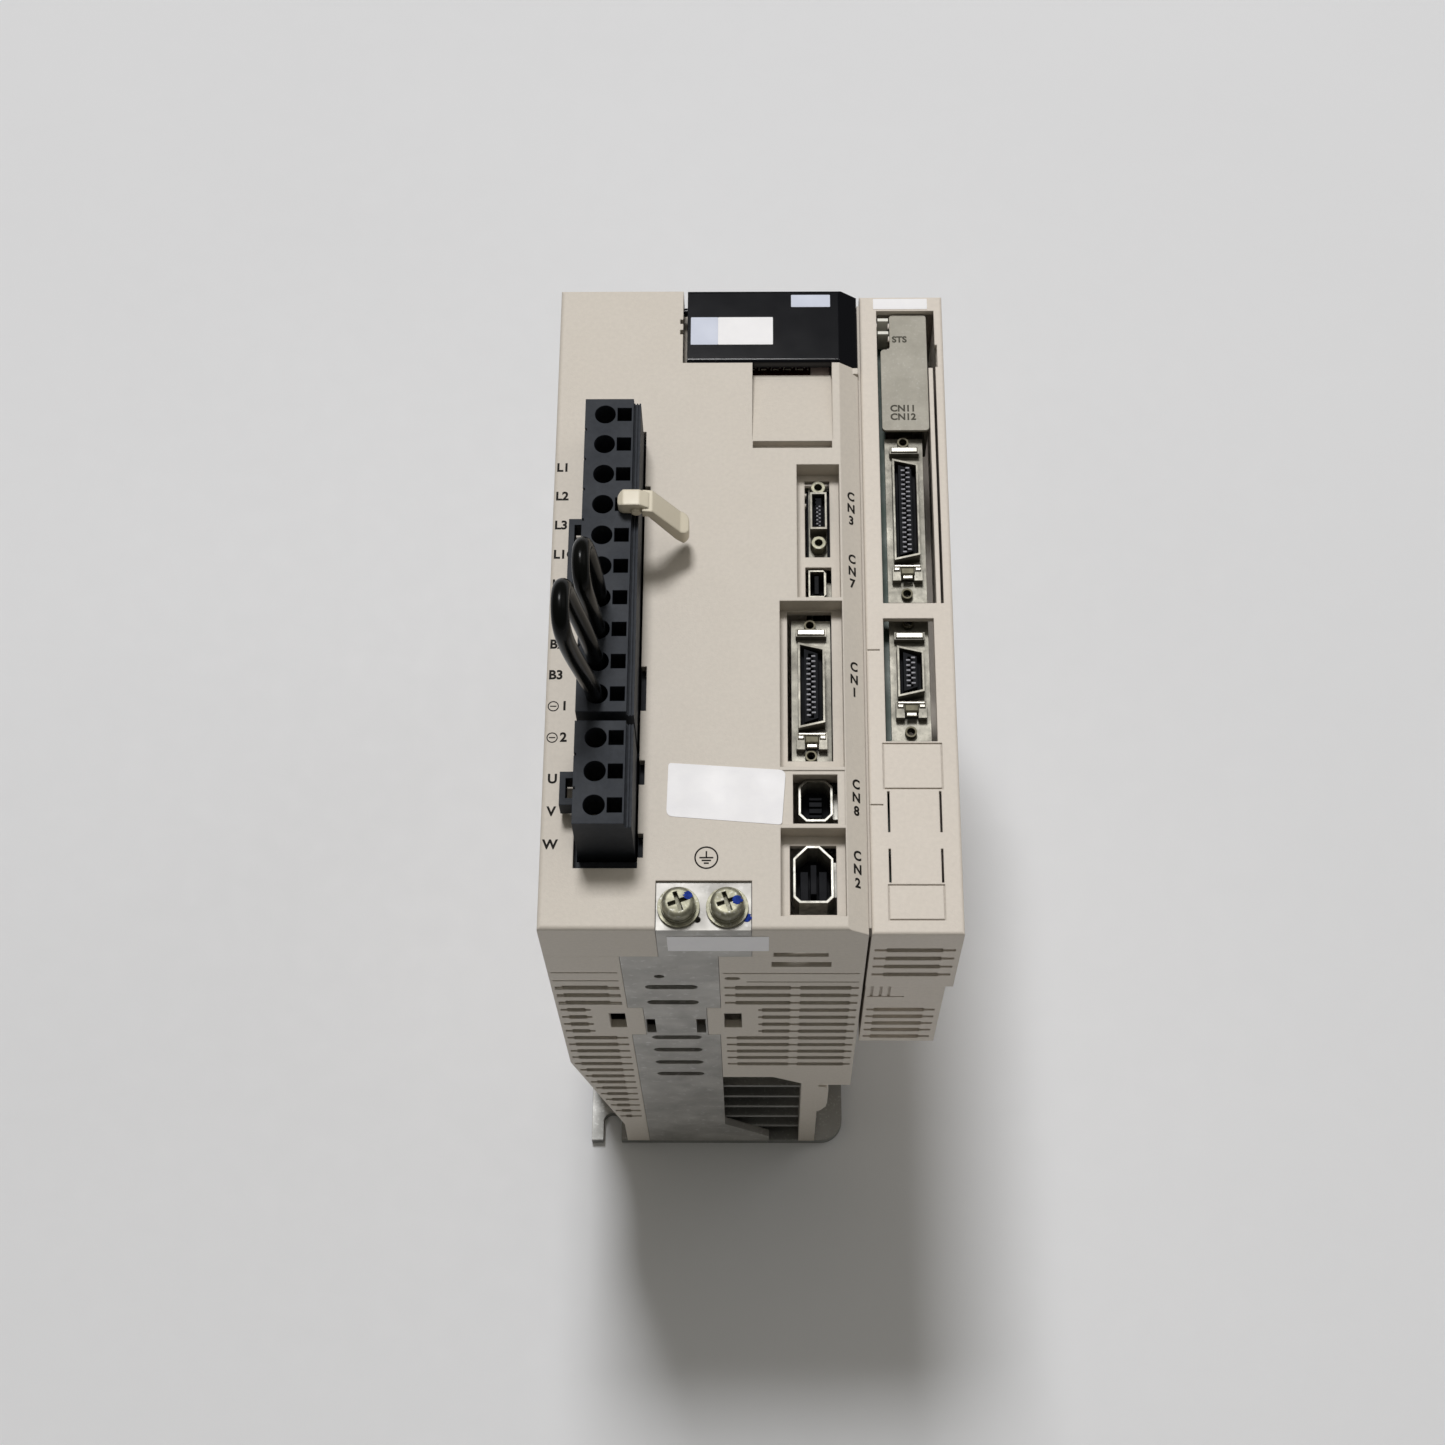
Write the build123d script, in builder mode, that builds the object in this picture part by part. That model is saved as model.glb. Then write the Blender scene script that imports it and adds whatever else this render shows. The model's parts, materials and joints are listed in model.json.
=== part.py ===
from build123d import *
from math import cos, radians, sin, tan
import os

# A base-mounted servo drive with a slim option module on its right side.
# Millimetres. X runs across the width, +Y is the drive's top edge, +Z points out of the front panel.
# The origin is the middle of the flat back that lies against the cabinet plate.

# ---- driving dimensions ----------------------------------------------------------------------
WIDTH = 70.0
HEIGHT = 160.0
DEPTH = 180.0
X_SIDE = WIDTH / 2
Y_END = HEIGHT / 2
WALL = 2.0
BASE_THICK = 3.0
SEAM_Z = 162.2                      # joint line between the rear case and the front case
FRONT_THICK = 2.5
PANEL_UNDER = DEPTH - FRONT_THICK
CHAMFER_X = 30.5                    # where the sloping right edge of the panel starts
CHAMFER_Z = 176.5

# mounting
HOLE_PITCH_X = 58.0
HOLE_PITCH_Y = 149.5
HOLE_R = 2.5
HOLE_X = HOLE_PITCH_X / 2
HOLE_Y = HOLE_PITCH_Y / 2
RECESS_LEFT_X = -24.7               # screwdriver recesses at the four rear corners
RECESS_RIGHT_X = 26.9
RECESS_TOP_Z = 60.0
RECESS_LOW_Y = -62.0
RECESS_HIGH_Y = 64.0

# grounding arm on the lower side
ARM_LEFT = -18.5
ARM_RIGHT = 2.9
ARM_THICK = 2.0
WAIST_LEFT = -15.0
WAIST_RIGHT = -0.4
WAIST_LOW_Z = 104.0
WAIST_HIGH_Z = 125.3
BLOCK_X = (-10.0, 10.2)
BLOCK_BACK_Y = -69.2
BLOCK_TOP = 179.3
SCREW_X = (-5.2, 5.1)
SCREW_Y = -75.0

# heat-sink and fan
FIN_X = (-8.0, 22.3)
FIN_Y = (-78.0, 62.0)
FIN_FIRST_Z = 11.5
FIN_PITCH = 10.0
FIN_COUNT = 5
FIN_THICK = 1.6
SINK_WALL_X = (-12.0, -8.0)
DUCT_RIGHT_X = 22.5
DUCT_ROOF_Z = 67.4
FAN_SIDE = 30.0
FAN_DEEP = 10.0
FAN_X = 7.2
FAN_Z = 27.0
FAN_BORE_R = 14.0
FAN_HUB_R = 6.0
FAN_FRONT_Y = Y_END - WALL - FAN_DEEP
SHAFT_R = 1.0
RUNNING_GAP = 0.05

# louvres
LOUVRE_PITCH = 5.57
LOUVRE_HIGH = 2.8
LOUVRE_TOP_Z = 140.4

# display cover and its pocket
COVER_LEFT = -5.0
POCKET_LEFT = -6.0
POCKET_LOW_Y = 59.7
POCKET_FLOOR = 171.0
FLOOR_THICK = 1.6
HINGE_Y = 77.0
HINGE_Z = 175.0
HINGE_PIN_R = 1.0
KEY_X = (5.0, 11.0, 17.0, 23.0)
KEY_Y = 72.3
KEY_R = 1.8

# pluggable terminal blocks
POLE_PITCH = 7.62
POLE_FIRST_Y = 35.0
POWER_POLES = 10
MOTOR_POLES = 3
MOTOR_FIRST_Y = -43.7
PLUG_X = (-26.9, -16.1)
PLUG_STEP_X = -14.6
PLUG_TOP = 197.5
PLUG_STEP_TOP = 195.6
PLUG_BOTTOM = 166.0
POWER_PLUG_Y = (-37.7, 39.0)
MOTOR_PLUG_Y = (-63.1, -39.8)
WIRE_X = -22.4
WIRE_HOLE_R = 2.325
RELEASE_X = -18.1
BLADE_X = -20.5
BLADE_W = 1.0
HEADER_BASE_Z = (150.0, 162.0)
SHROUD_TOP = 176.5
POCKET_X = (-27.8, -14.1)
POCKET_Y = (-66.3, 41.0)

# connector side of the panel
WELL_FLOOR = 175.0
CONTROL_BOARD_X = (29.8, 31.4)
POWER_BOARD_X = (-32.4, -30.8)

# option module
OPT_X = (35.6, 55.2)
OPT_SEAM_Z = 141.5
OPT_FRONT_Z = 177.0
OPT_BACK_Z = 97.0
OPT_REAR_X = (35.8, 53.7)
OPT_REAR_Y = 79.3
OPT_WALL = 1.6
OPT_BOARD_X = (40.0, 41.6)


# ---- helpers ---------------------------------------------------------------------------------
def block(x0, x1, y0, y1, z0, z1, mode=Mode.ADD):
    """A box between two opposite corners."""
    with Locations(((x0 + x1) / 2, (y0 + y1) / 2, (z0 + z1) / 2)):
        Box(x1 - x0, y1 - y0, z1 - z0, mode=mode)


def rod_x(y, z, x0, x1, radius, mode=Mode.ADD):
    """A round rod along X."""
    with Locations(Location(((x0 + x1) / 2, y, z), (0, 90, 0))):
        Cylinder(radius, x1 - x0, mode=mode)


def rod_y(x, z, y0, y1, radius, mode=Mode.ADD):
    """A round rod along Y."""
    with Locations(Location((x, (y0 + y1) / 2, z), (90, 0, 0))):
        Cylinder(radius, y1 - y0, mode=mode)


def rod_z(x, y, z0, z1, radius, mode=Mode.ADD):
    """A round rod along Z."""
    with Locations((x, y, (z0 + z1) / 2)):
        Cylinder(radius, z1 - z0, mode=mode)


def prism_xz(points, y0, y1, mode=Mode.ADD):
    """A prism along Y with an outline given as (x, z) points."""
    with BuildSketch(Plane.XZ.offset(-y1)) as profile:
        with BuildLine():
            Polyline(*points, close=True)
        make_face()
    extrude(profile.sketch, amount=y1 - y0, mode=mode)


def prism_xy(points, z0, z1, mode=Mode.ADD):
    """A prism along Z with an outline given as (x, y) points."""
    with BuildSketch(Plane.XY.offset(z0)) as profile:
        with BuildLine():
            Polyline(*points, close=True)
        make_face()
    extrude(profile.sketch, amount=z1 - z0, mode=mode)


def prism_yz(points, x0, x1, mode=Mode.ADD):
    """A prism along X with an outline given as (y, z) points."""
    with BuildSketch(Plane.YZ.offset(x0)) as profile:
        with BuildLine():
            Polyline(*points, close=True)
        make_face()
    extrude(profile.sketch, amount=x1 - x0, mode=mode)


def slot_through_y(x0, x1, z_mid, high, y0, y1, mode=Mode.SUBTRACT):
    """A round-ended slot, long in X, that goes through a wall along Y."""
    with BuildSketch(Plane.XZ.offset(-y1)) as profile:
        with Locations(((x0 + x1) / 2, z_mid)):
            SlotOverall(x1 - x0, high)
    extrude(profile.sketch, amount=y1 - y0, mode=mode)


def save(builder, name):
    """Labels a finished piece and writes its STEP file."""
    builder.part.label = name
    export_step(builder.part, f"parts/{name}.step")


def arm_outline(gap):
    """The grounding arm seen from below, as (x, z) points, grown by a gap."""
    return [
        (ARM_LEFT - gap, BASE_THICK),
        (14.4 + gap, BASE_THICK),
        (14.4 + gap, 7.2 + gap),
        (2.5 + gap, 20.6 + gap),
        (2.5 + gap, WAIST_LOW_Z + gap),
        (WAIST_RIGHT + gap, WAIST_LOW_Z + gap),
        (WAIST_RIGHT + gap, WAIST_HIGH_Z - gap),
        (ARM_RIGHT + gap, WAIST_HIGH_Z - gap),
        (ARM_RIGHT + gap, SEAM_Z),
        (ARM_LEFT - gap, SEAM_Z),
        (ARM_LEFT - gap, WAIST_HIGH_Z - gap),
        (WAIST_LEFT - gap, WAIST_HIGH_Z - gap),
        (WAIST_LEFT - gap, WAIST_LOW_Z + gap),
        (ARM_LEFT - gap, WAIST_LOW_Z + gap),
    ]


def left_edge_x(z):
    """X of the slanted lower left edge of the rear case at a height."""
    low_z, high_z = 20.5, 80.3
    if z < low_z:
        return RECESS_LEFT_X
    return max(-X_SIDE, RECESS_LEFT_X - (z - low_z) * (X_SIDE + RECESS_LEFT_X) / (high_z - low_z))


def corner_recesses(margin):
    """Cuts the four screwdriver recesses, grown by a margin, from the piece in hand."""
    outside = 1.0
    low = BASE_THICK - outside
    slanted = [
        (-X_SIDE - outside, 83.2 + margin),
        (-X_SIDE - 0.5 + margin, 83.2),
        (RECESS_LEFT_X + margin, 20.5),
        (RECESS_LEFT_X + margin, low),
        (-X_SIDE - outside, low),
    ]
    prism_xz(slanted, -Y_END - outside, RECESS_LOW_Y + margin, mode=Mode.SUBTRACT)
    top = RECESS_TOP_Z + margin
    right = X_SIDE + outside
    end = Y_END + outside
    block(RECESS_RIGHT_X - margin, right, -end, RECESS_LOW_Y + margin, low, top, mode=Mode.SUBTRACT)
    block(RECESS_RIGHT_X - margin, right, RECESS_HIGH_Y - margin, end, low, top, mode=Mode.SUBTRACT)
    block(-right, RECESS_LEFT_X + margin, RECESS_HIGH_Y - margin, end, low, top, mode=Mode.SUBTRACT)


# ---- heat-sink casting with the mounting flange ----------------------------------------------
with BuildPart() as heatsink:
    block(-34.8, 34.6, -79.9, 79.9, 0, BASE_THICK)
    low_right = heatsink.edges().filter_by(Axis.Z).sort_by(Axis.X)[-2:].sort_by(Axis.Y)[0]
    fillet(low_right, 6.0)
    block(*SINK_WALL_X, *FIN_Y, BASE_THICK, 62.0)
    for i in range(FIN_COUNT):
        z = FIN_FIRST_Z + i * FIN_PITCH
        block(*FIN_X, *FIN_Y, z - FIN_THICK / 2, z + FIN_THICK / 2)
    for x in (-HOLE_X, HOLE_X):
        rod_z(x, HOLE_Y, -1, BASE_THICK + 1, HOLE_R, mode=Mode.SUBTRACT)
    rod_z(-HOLE_X, -HOLE_Y, -1, BASE_THICK + 1, HOLE_R, mode=Mode.SUBTRACT)
    block(-HOLE_X - HOLE_R, -HOLE_X + HOLE_R, -Y_END - 1, -HOLE_Y, -1, BASE_THICK + 1,
          mode=Mode.SUBTRACT)
save(heatsink, "heatsink")

# ---- grounding arm with its tapped block -----------------------------------------------------
with BuildPart() as ground_arm:
    prism_xz(arm_outline(0), -Y_END, -Y_END + ARM_THICK)
    for z in (140.8, 129.5, 101.8, 91.4, 80.6, 70.2):
        slot_through_y(-13.9, -2.0, z, 3.2, -Y_END - 1, -Y_END + ARM_THICK + 1)
    for x in (WAIST_LEFT + 0.2, -3.0):
        block(x, x + 2.2, -Y_END - 1, -Y_END + ARM_THICK + 1, 105.8, 116.5, mode=Mode.SUBTRACT)
    rod_y(-10.4, 148.4, -Y_END - 1, -Y_END + ARM_THICK + 1, 1.2, mode=Mode.SUBTRACT)
    block(*BLOCK_X, -Y_END, BLOCK_BACK_Y, SEAM_Z, BLOCK_TOP)
    for x in SCREW_X:
        rod_z(x, SCREW_Y, 168.0, BLOCK_TOP + 1, 2.0, mode=Mode.SUBTRACT)
    rod_z(-1.2, -77.6, 175.0, BLOCK_TOP + 1, 0.7, mode=Mode.SUBTRACT)
save(ground_arm, "ground_arm")

WASHER_THICK = 0.8
SPRING_THICK = 1.0
SCREW_HEAD_Z = BLOCK_TOP + WASHER_THICK + SPRING_THICK
HEAD_HIGH = 2.6
with BuildPart() as ground_washers:
    for x in SCREW_X:
        rod_z(x, SCREW_Y, BLOCK_TOP, BLOCK_TOP + WASHER_THICK, 4.5)
        rod_z(x, SCREW_Y, BLOCK_TOP + WASHER_THICK, SCREW_HEAD_Z, 3.7)
        rod_z(x, SCREW_Y, BLOCK_TOP - 1, SCREW_HEAD_Z + 1, 2.1, mode=Mode.SUBTRACT)
save(ground_washers, "ground_washers")

with BuildPart() as ground_screws:
    for x in SCREW_X:
        rod_z(x, SCREW_Y, SCREW_HEAD_Z, SCREW_HEAD_Z + HEAD_HIGH, 3.5)
    crowns = ground_screws.faces().sort_by(Axis.Z)[-2:]
    fillet(crowns.edges(), 1.1)
    for x in SCREW_X:
        rod_z(x, SCREW_Y, 169.5, SCREW_HEAD_Z, 1.9)
        for turn in (0, 90):
            with Locations(Location((x, SCREW_Y, SCREW_HEAD_Z + HEAD_HIGH), (0, 0, turn + 20))):
                Box(4.4, 0.9, 3.2, mode=Mode.SUBTRACT)
save(ground_screws, "ground_screws")

# ---- rear case -------------------------------------------------------------------------------
with BuildPart() as rear_cavity:
    block(-X_SIDE + WALL, X_SIDE - WALL, -Y_END + WALL, Y_END - WALL, BASE_THICK, SEAM_Z)
    corner_recesses(WALL)

LOW_WALL = (-Y_END - 1, -Y_END + WALL + 0.1)
HIGH_WALL = (Y_END - WALL - 0.1, Y_END + 1)
GROOVE = 0.4


def run_out(x0, x1, face_y, z):
    """A shallow groove in a lower face that carries a louvre on past both of its ends."""
    block(x0, x1, face_y - 1, face_y + GROOVE, z - 0.7, z + 0.7, mode=Mode.SUBTRACT)


with BuildPart() as rear_case:
    block(-X_SIDE, X_SIDE, -Y_END, Y_END, BASE_THICK, SEAM_Z)
    corner_recesses(0)
    add(rear_cavity.part, mode=Mode.SUBTRACT)

    # air duct round the fins: a roof and a right-hand wall
    duct_y = (-Y_END + WALL, Y_END - WALL)
    duct_wall = (DUCT_RIGHT_X, RECESS_RIGHT_X - WALL)
    block(SINK_WALL_X[0], duct_wall[1], *duct_y, DUCT_ROOF_Z, DUCT_ROOF_Z + 1.5)
    block(*duct_wall, *duct_y, BASE_THICK, DUCT_ROOF_Z)

    # air inlet over the fins, and the seat of the grounding arm
    inlet = [(2.6, 2), (DUCT_RIGHT_X, 2), (DUCT_RIGHT_X, 61.4), (15.3, 67.2), (2.6, 67.2)]
    prism_xz(inlet, *LOW_WALL, mode=Mode.SUBTRACT)
    prism_xz(arm_outline(0.1), *LOW_WALL, mode=Mode.SUBTRACT)

    # louvres of the lower face, left of the arm
    for i in range(21):
        z = LOUVRE_TOP_Z - i * LOUVRE_PITCH
        left = max(-33.0, left_edge_x(z) + 2.4)
        right = -28.4 if 3 <= i <= 6 else -22.3
        block(left, right, *LOW_WALL, z - LOUVRE_HIGH / 2, z + LOUVRE_HIGH / 2, mode=Mode.SUBTRACT)
        run_out(left - 1.6, right + 1.2 if 3 <= i <= 6 else -19.7, -Y_END, z)
    for z in (151.0, 145.3, 139.2, 133.6, 128.0):
        block(-34.3, -19.6, -Y_END - 1, -Y_END + GROOVE, z - 0.3, z + 0.3, mode=Mode.SUBTRACT)
    block(-23.2, -19.4, *LOW_WALL, 110.0, 121.0, mode=Mode.SUBTRACT)

    # louvres of the lower face, right of the arm, in two columns
    for i in range(12):
        z = LOUVRE_TOP_Z - i * LOUVRE_PITCH
        left = 12.5 if 3 <= i <= 6 else 6.4
        block(left, 18.9, *LOW_WALL, z - 1.35, z + 1.35, mode=Mode.SUBTRACT)
        block(21.1, 32.5, *LOW_WALL, z - 1.35, z + 1.35, mode=Mode.SUBTRACT)
        run_out(left - (0.9 if 3 <= i <= 6 else 2.4), 34.2, -Y_END, z)
    for x0, z in ((3.9, 150.6), (9.0, 144.6)):
        block(x0, 34.0, -Y_END - 1, -Y_END + GROOVE, z - 0.3, z + 0.3, mode=Mode.SUBTRACT)
    block(3.6, 7.7, *LOW_WALL, 110.0, 121.0, mode=Mode.SUBTRACT)
    slot_through_y(4.1, 7.6, 147.0, 2.0, *LOW_WALL)
    block(14.5, 27.6, *LOW_WALL, 155.3, 158.6, mode=Mode.SUBTRACT)

    # louvres of the upper face and the fan guard
    for i in range(12):
        z = LOUVRE_TOP_Z - i * LOUVRE_PITCH
        for x0, x1 in ((-31.0, -13.0), (-9.0, 9.0), (13.0, 31.0)):
            block(x0, x1, *HIGH_WALL, z - 1.35, z + 1.35, mode=Mode.SUBTRACT)
    for inner, outer in ((3.0, 6.2), (7.3, 10.3), (11.4, FAN_BORE_R)):
        with BuildSketch(Plane.XZ.offset(-HIGH_WALL[1])) as ring:
            with Locations((FAN_X, FAN_Z)):
                Circle(outer)
                Circle(inner, mode=Mode.SUBTRACT)
        extrude(ring.sketch, amount=HIGH_WALL[1] - HIGH_WALL[0], mode=Mode.SUBTRACT)
    for turn in (45, 135):
        centre = Location((FAN_X, Y_END - WALL / 2, FAN_Z), (0, turn, 0))
        with Locations(centre):
            Box(2 * FAN_BORE_R + 1, WALL, 1.2)

    # windows in the right side for the option module's plug and hooks
    side = (X_SIDE - WALL - 0.1, X_SIDE + 1)
    block(*side, -22, 22, 108, 120, mode=Mode.SUBTRACT)
    for y in (-60, 60):
        block(*side, y - 2.5, y + 2.5, 127, 135, mode=Mode.SUBTRACT)

    # rounded ear on the right-hand foot
    ear = [(26.5, 34.0), (27.9, 35.2), (29.2, 39.0), (29.5, 43.0), (29.5, 55.0), (29.0, 57.6), (26.5, 58.6)]
    prism_xz(ear, -Y_END, -Y_END + WALL)
save(rear_case, "rear_case")

# ---- front case ------------------------------------------------------------------------------
with BuildPart() as front_case:
    outline = [(-X_SIDE, SEAM_Z), (X_SIDE, SEAM_Z), (X_SIDE, CHAMFER_Z), (CHAMFER_X, DEPTH), (-X_SIDE, DEPTH)]
    prism_xz(outline, -Y_END, Y_END)
    rim = front_case.faces().sort_by(Axis.Z)[-1]
    soft_edges = rim.edges().filter_by(Axis.X) + rim.edges().filter_by(Axis.Y).sort_by(Axis.X)[:1]
    fillet(soft_edges, 0.9)
    hollow = [
        (-X_SIDE + WALL, SEAM_Z),
        (X_SIDE - WALL, SEAM_Z),
        (X_SIDE - WALL, CHAMFER_Z - 1.3),
        (CHAMFER_X - 1.0, PANEL_UNDER),
        (-X_SIDE + WALL, PANEL_UNDER),
    ]
    prism_xz(hollow, -Y_END + WALL, Y_END - WALL, mode=Mode.SUBTRACT)

    # solid ground for the wells that are then cut in the panel
    block(14.6, 32.0, -78.5, -1.0, WELL_FLOOR - 1.5, PANEL_UNDER)
    block(18.6, 32.0, -3.6, 34.2, 173.3, PANEL_UNDER)
    block(8.8, 30.3, 37.0, 60.0, 174.4, PANEL_UNDER)
    block(POCKET_LEFT - 1.6, X_SIDE, 58.1, Y_END, POCKET_FLOOR - FLOOR_THICK, PANEL_UNDER)
    block(BLOCK_X[0] - 1.7, BLOCK_X[1] + 1.7, -78.5, BLOCK_BACK_Y + 1.7, SEAM_Z, PANEL_UNDER)

    # pocket of the display cover
    block(POCKET_LEFT, 36, POCKET_LOW_Y, 81, POCKET_FLOOR, 181, mode=Mode.SUBTRACT)
    for y in (68.2, 71.1):
        block(POCKET_LEFT - 0.7, POCKET_LEFT + 0.1, y - 0.6, y + 0.6, 178, 181, mode=Mode.SUBTRACT)
    for x in KEY_X:
        rod_z(x, KEY_Y, 169, 172, KEY_R + RUNNING_GAP, mode=Mode.SUBTRACT)
    rod_x(HINGE_Y, HINGE_Z, POCKET_LEFT - 2, POCKET_LEFT + 0.1, HINGE_PIN_R + RUNNING_GAP,
          mode=Mode.SUBTRACT)
    block(26.4, 28.4, HINGE_Y - 1.8, HINGE_Y + 1.8, POCKET_FLOOR, HINGE_Z)
    rod_x(HINGE_Y, HINGE_Z, 26.4, 28.4, 1.8)
    rod_x(HINGE_Y, HINGE_Z, 26.3, 28.5, HINGE_PIN_R + RUNNING_GAP, mode=Mode.SUBTRACT)

    # sloping finger ramp below the cover, with the display window at its top
    ramp = [(38.5, 181), (38.5, DEPTH), (57.6, 176.2), (57.6, POCKET_FLOOR), (60, POCKET_FLOOR), (60, 181)]
    prism_yz(ramp, 10.3, 28.8, mode=Mode.SUBTRACT)
    block(10.4, 28.6, 36.7, 38.5, 177.8, 181, mode=Mode.SUBTRACT)

    # well of the upper two connectors
    block(20.4, 30.1, -1.8, 32.3, 174.8, 181, mode=Mode.SUBTRACT)
    block(22.3, 28.0, 11.0, 30.8, 173, 176, mode=Mode.SUBTRACT)
    block(22.3, 28.2, 0.8, 8.4, 173, 176, mode=Mode.SUBTRACT)

    # well of the lower three connectors, divided by two thin ridges
    block(16.4, 30.3, -77.0, -2.7, WELL_FLOOR, 181, mode=Mode.SUBTRACT)
    for y0, y1 in ((-43.7, -42.9), (-57.1, -56.3)):
        block(16.4, 30.3, y0, y1, WELL_FLOOR, DEPTH - 0.05)
    block(18.1, 28.0, -39.5, -3.0, 173, 176, mode=Mode.SUBTRACT)
    block(18.4, 28.4, -75.0, -59.3, 173, 176, mode=Mode.SUBTRACT)
    # the middle connector looks through a thin raised floor that is cut away under its rim
    block(16.4, 30.3, -56.3, -43.7, WELL_FLOOR, 179.7)
    block(18.0, 29.6, -56.1, -43.9, 173, 178.7, mode=Mode.SUBTRACT)
    block(19.1, 28.7, -56.0, -44.6, 178, 181, mode=Mode.SUBTRACT)

    # pocket of the terminal plugs, with finger notches on its right
    block(*POCKET_X, *POCKET_Y, 177, 181, mode=Mode.SUBTRACT)
    for y0, y1 in ((-63.9, -58.4), (-47.1, -41.4), (-29.6, -18.9), (24.9, 26.6)):
        block(POCKET_X[1] - 0.1, -12.9, y0, y1, 177, 181, mode=Mode.SUBTRACT)

    # notch of the grounding block, and the latch slot at the seam
    block(BLOCK_X[0] - 0.1, BLOCK_X[1] + 0.1, -81, BLOCK_BACK_Y + 0.1, 162, 181, mode=Mode.SUBTRACT)
    block(14.9, 26.8, *LOW_WALL, 162, 164.9, mode=Mode.SUBTRACT)
save(front_case, "front_case")

# ---- display cover ---------------------------------------------------------------------------
COVER_RIGHT = X_SIDE - 0.1
COVER_TOP_Y = Y_END - 0.2
COVER_LOW_Y = POCKET_LOW_Y + 0.2
with BuildPart() as display_cover:
    shell = [
        (COVER_LEFT, PANEL_UNDER),
        (29.5, PANEL_UNDER),
        (33.2, 174.6),
        (33.2, POCKET_FLOOR + 0.3),
        (COVER_RIGHT, POCKET_FLOOR + 0.3),
        (COVER_RIGHT, CHAMFER_Z + 0.1),
        (CHAMFER_X, DEPTH + 0.1),
        (COVER_LEFT, DEPTH + 0.1),
    ]
    prism_xz(shell, COVER_LOW_Y, COVER_TOP_Y)
    rims = display_cover.faces().sort_by(Axis.Z)[-1].edges().filter_by(Axis.X)
    fillet(rims, 0.8)
    block(33.0, 35.0, 75.5, 81, POCKET_FLOOR, 174.6, mode=Mode.SUBTRACT)
    # the low corner of the side wall is cut back so that it clears the case as the cover lifts
    block(33.0, 35.0, COVER_LOW_Y - 0.1, COVER_LOW_Y + 0.8, POCKET_FLOOR, HINGE_Z, mode=Mode.SUBTRACT)
    for x0, x1 in ((COVER_LEFT, 25.9), (28.9, 33.0)):
        block(x0, x1, COVER_TOP_Y - 0.8, COVER_TOP_Y, 173.5, PANEL_UNDER)
    for x0, x1, tip0, tip1 in ((-4.8, -2.8, POCKET_LEFT - 1.4, -4.8), (24.0, 26.0, 26.0, 28.2)):
        block(x0, x1, HINGE_Y - 1.6, HINGE_Y + 1.0, HINGE_Z - 1.6, PANEL_UNDER)
        rod_x(HINGE_Y, HINGE_Z, tip0, tip1, HINGE_PIN_R)
save(display_cover, "display_cover")

# ---- operator panel under the cover ----------------------------------------------------------
with BuildPart() as display_module:
    block(7.6, 23.7, 59.8, 68.0, POCKET_FLOOR, 174.6)
    block(10.4, 23.7, 57.7, 59.8, POCKET_FLOOR, 174.6)
save(display_module, "display_module")

with BuildPart() as lamp_lens:
    block(23.9, 28.5, 57.7, 64.0, POCKET_FLOOR, 175.2)
    fillet(lamp_lens.faces().sort_by(Axis.Z)[-1].edges(), 0.5)
save(lamp_lens, "lamp_lens")

KEY_TRAVEL = 0.5
FLANGE_TOP = POCKET_FLOOR - FLOOR_THICK - 0.05
for i, x in enumerate(KEY_X):
    with BuildPart() as panel_key:
        rod_z(x, KEY_Y, FLANGE_TOP, 173.6, KEY_R)
        rod_z(x, KEY_Y, FLANGE_TOP - 1.0, FLANGE_TOP, 2.5)
    save(panel_key, f"panel_key_{i + 1}")

with BuildPart() as key_board:
    block(-2.0, 29.0, 62.0, 77.0, 161.0, 162.6)
save(key_board, "key_board")

with BuildPart() as key_switches:
    for x in KEY_X:
        block(x - 2.4, x + 2.4, KEY_Y - 2.4, KEY_Y + 2.4, 162.6, 166.4)
        rod_z(x, KEY_Y, 166.4, FLANGE_TOP - 1.0 - KEY_TRAVEL - 0.1, 1.3)
save(key_switches, "key_switches")


# ---- terminal plugs --------------------------------------------------------------------------
def pole_rows(first_y, count):
    """Y of each pole, from the top one down."""
    return [first_y - i * POLE_PITCH for i in range(count)]


POWER_ROWS = pole_rows(POLE_FIRST_Y, POWER_POLES)
MOTOR_ROWS = pole_rows(MOTOR_FIRST_Y, MOTOR_POLES)
CLAMP_X = (-24.9, -16.9)
CLAMP_Z = (179.5, 187.5)


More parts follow.
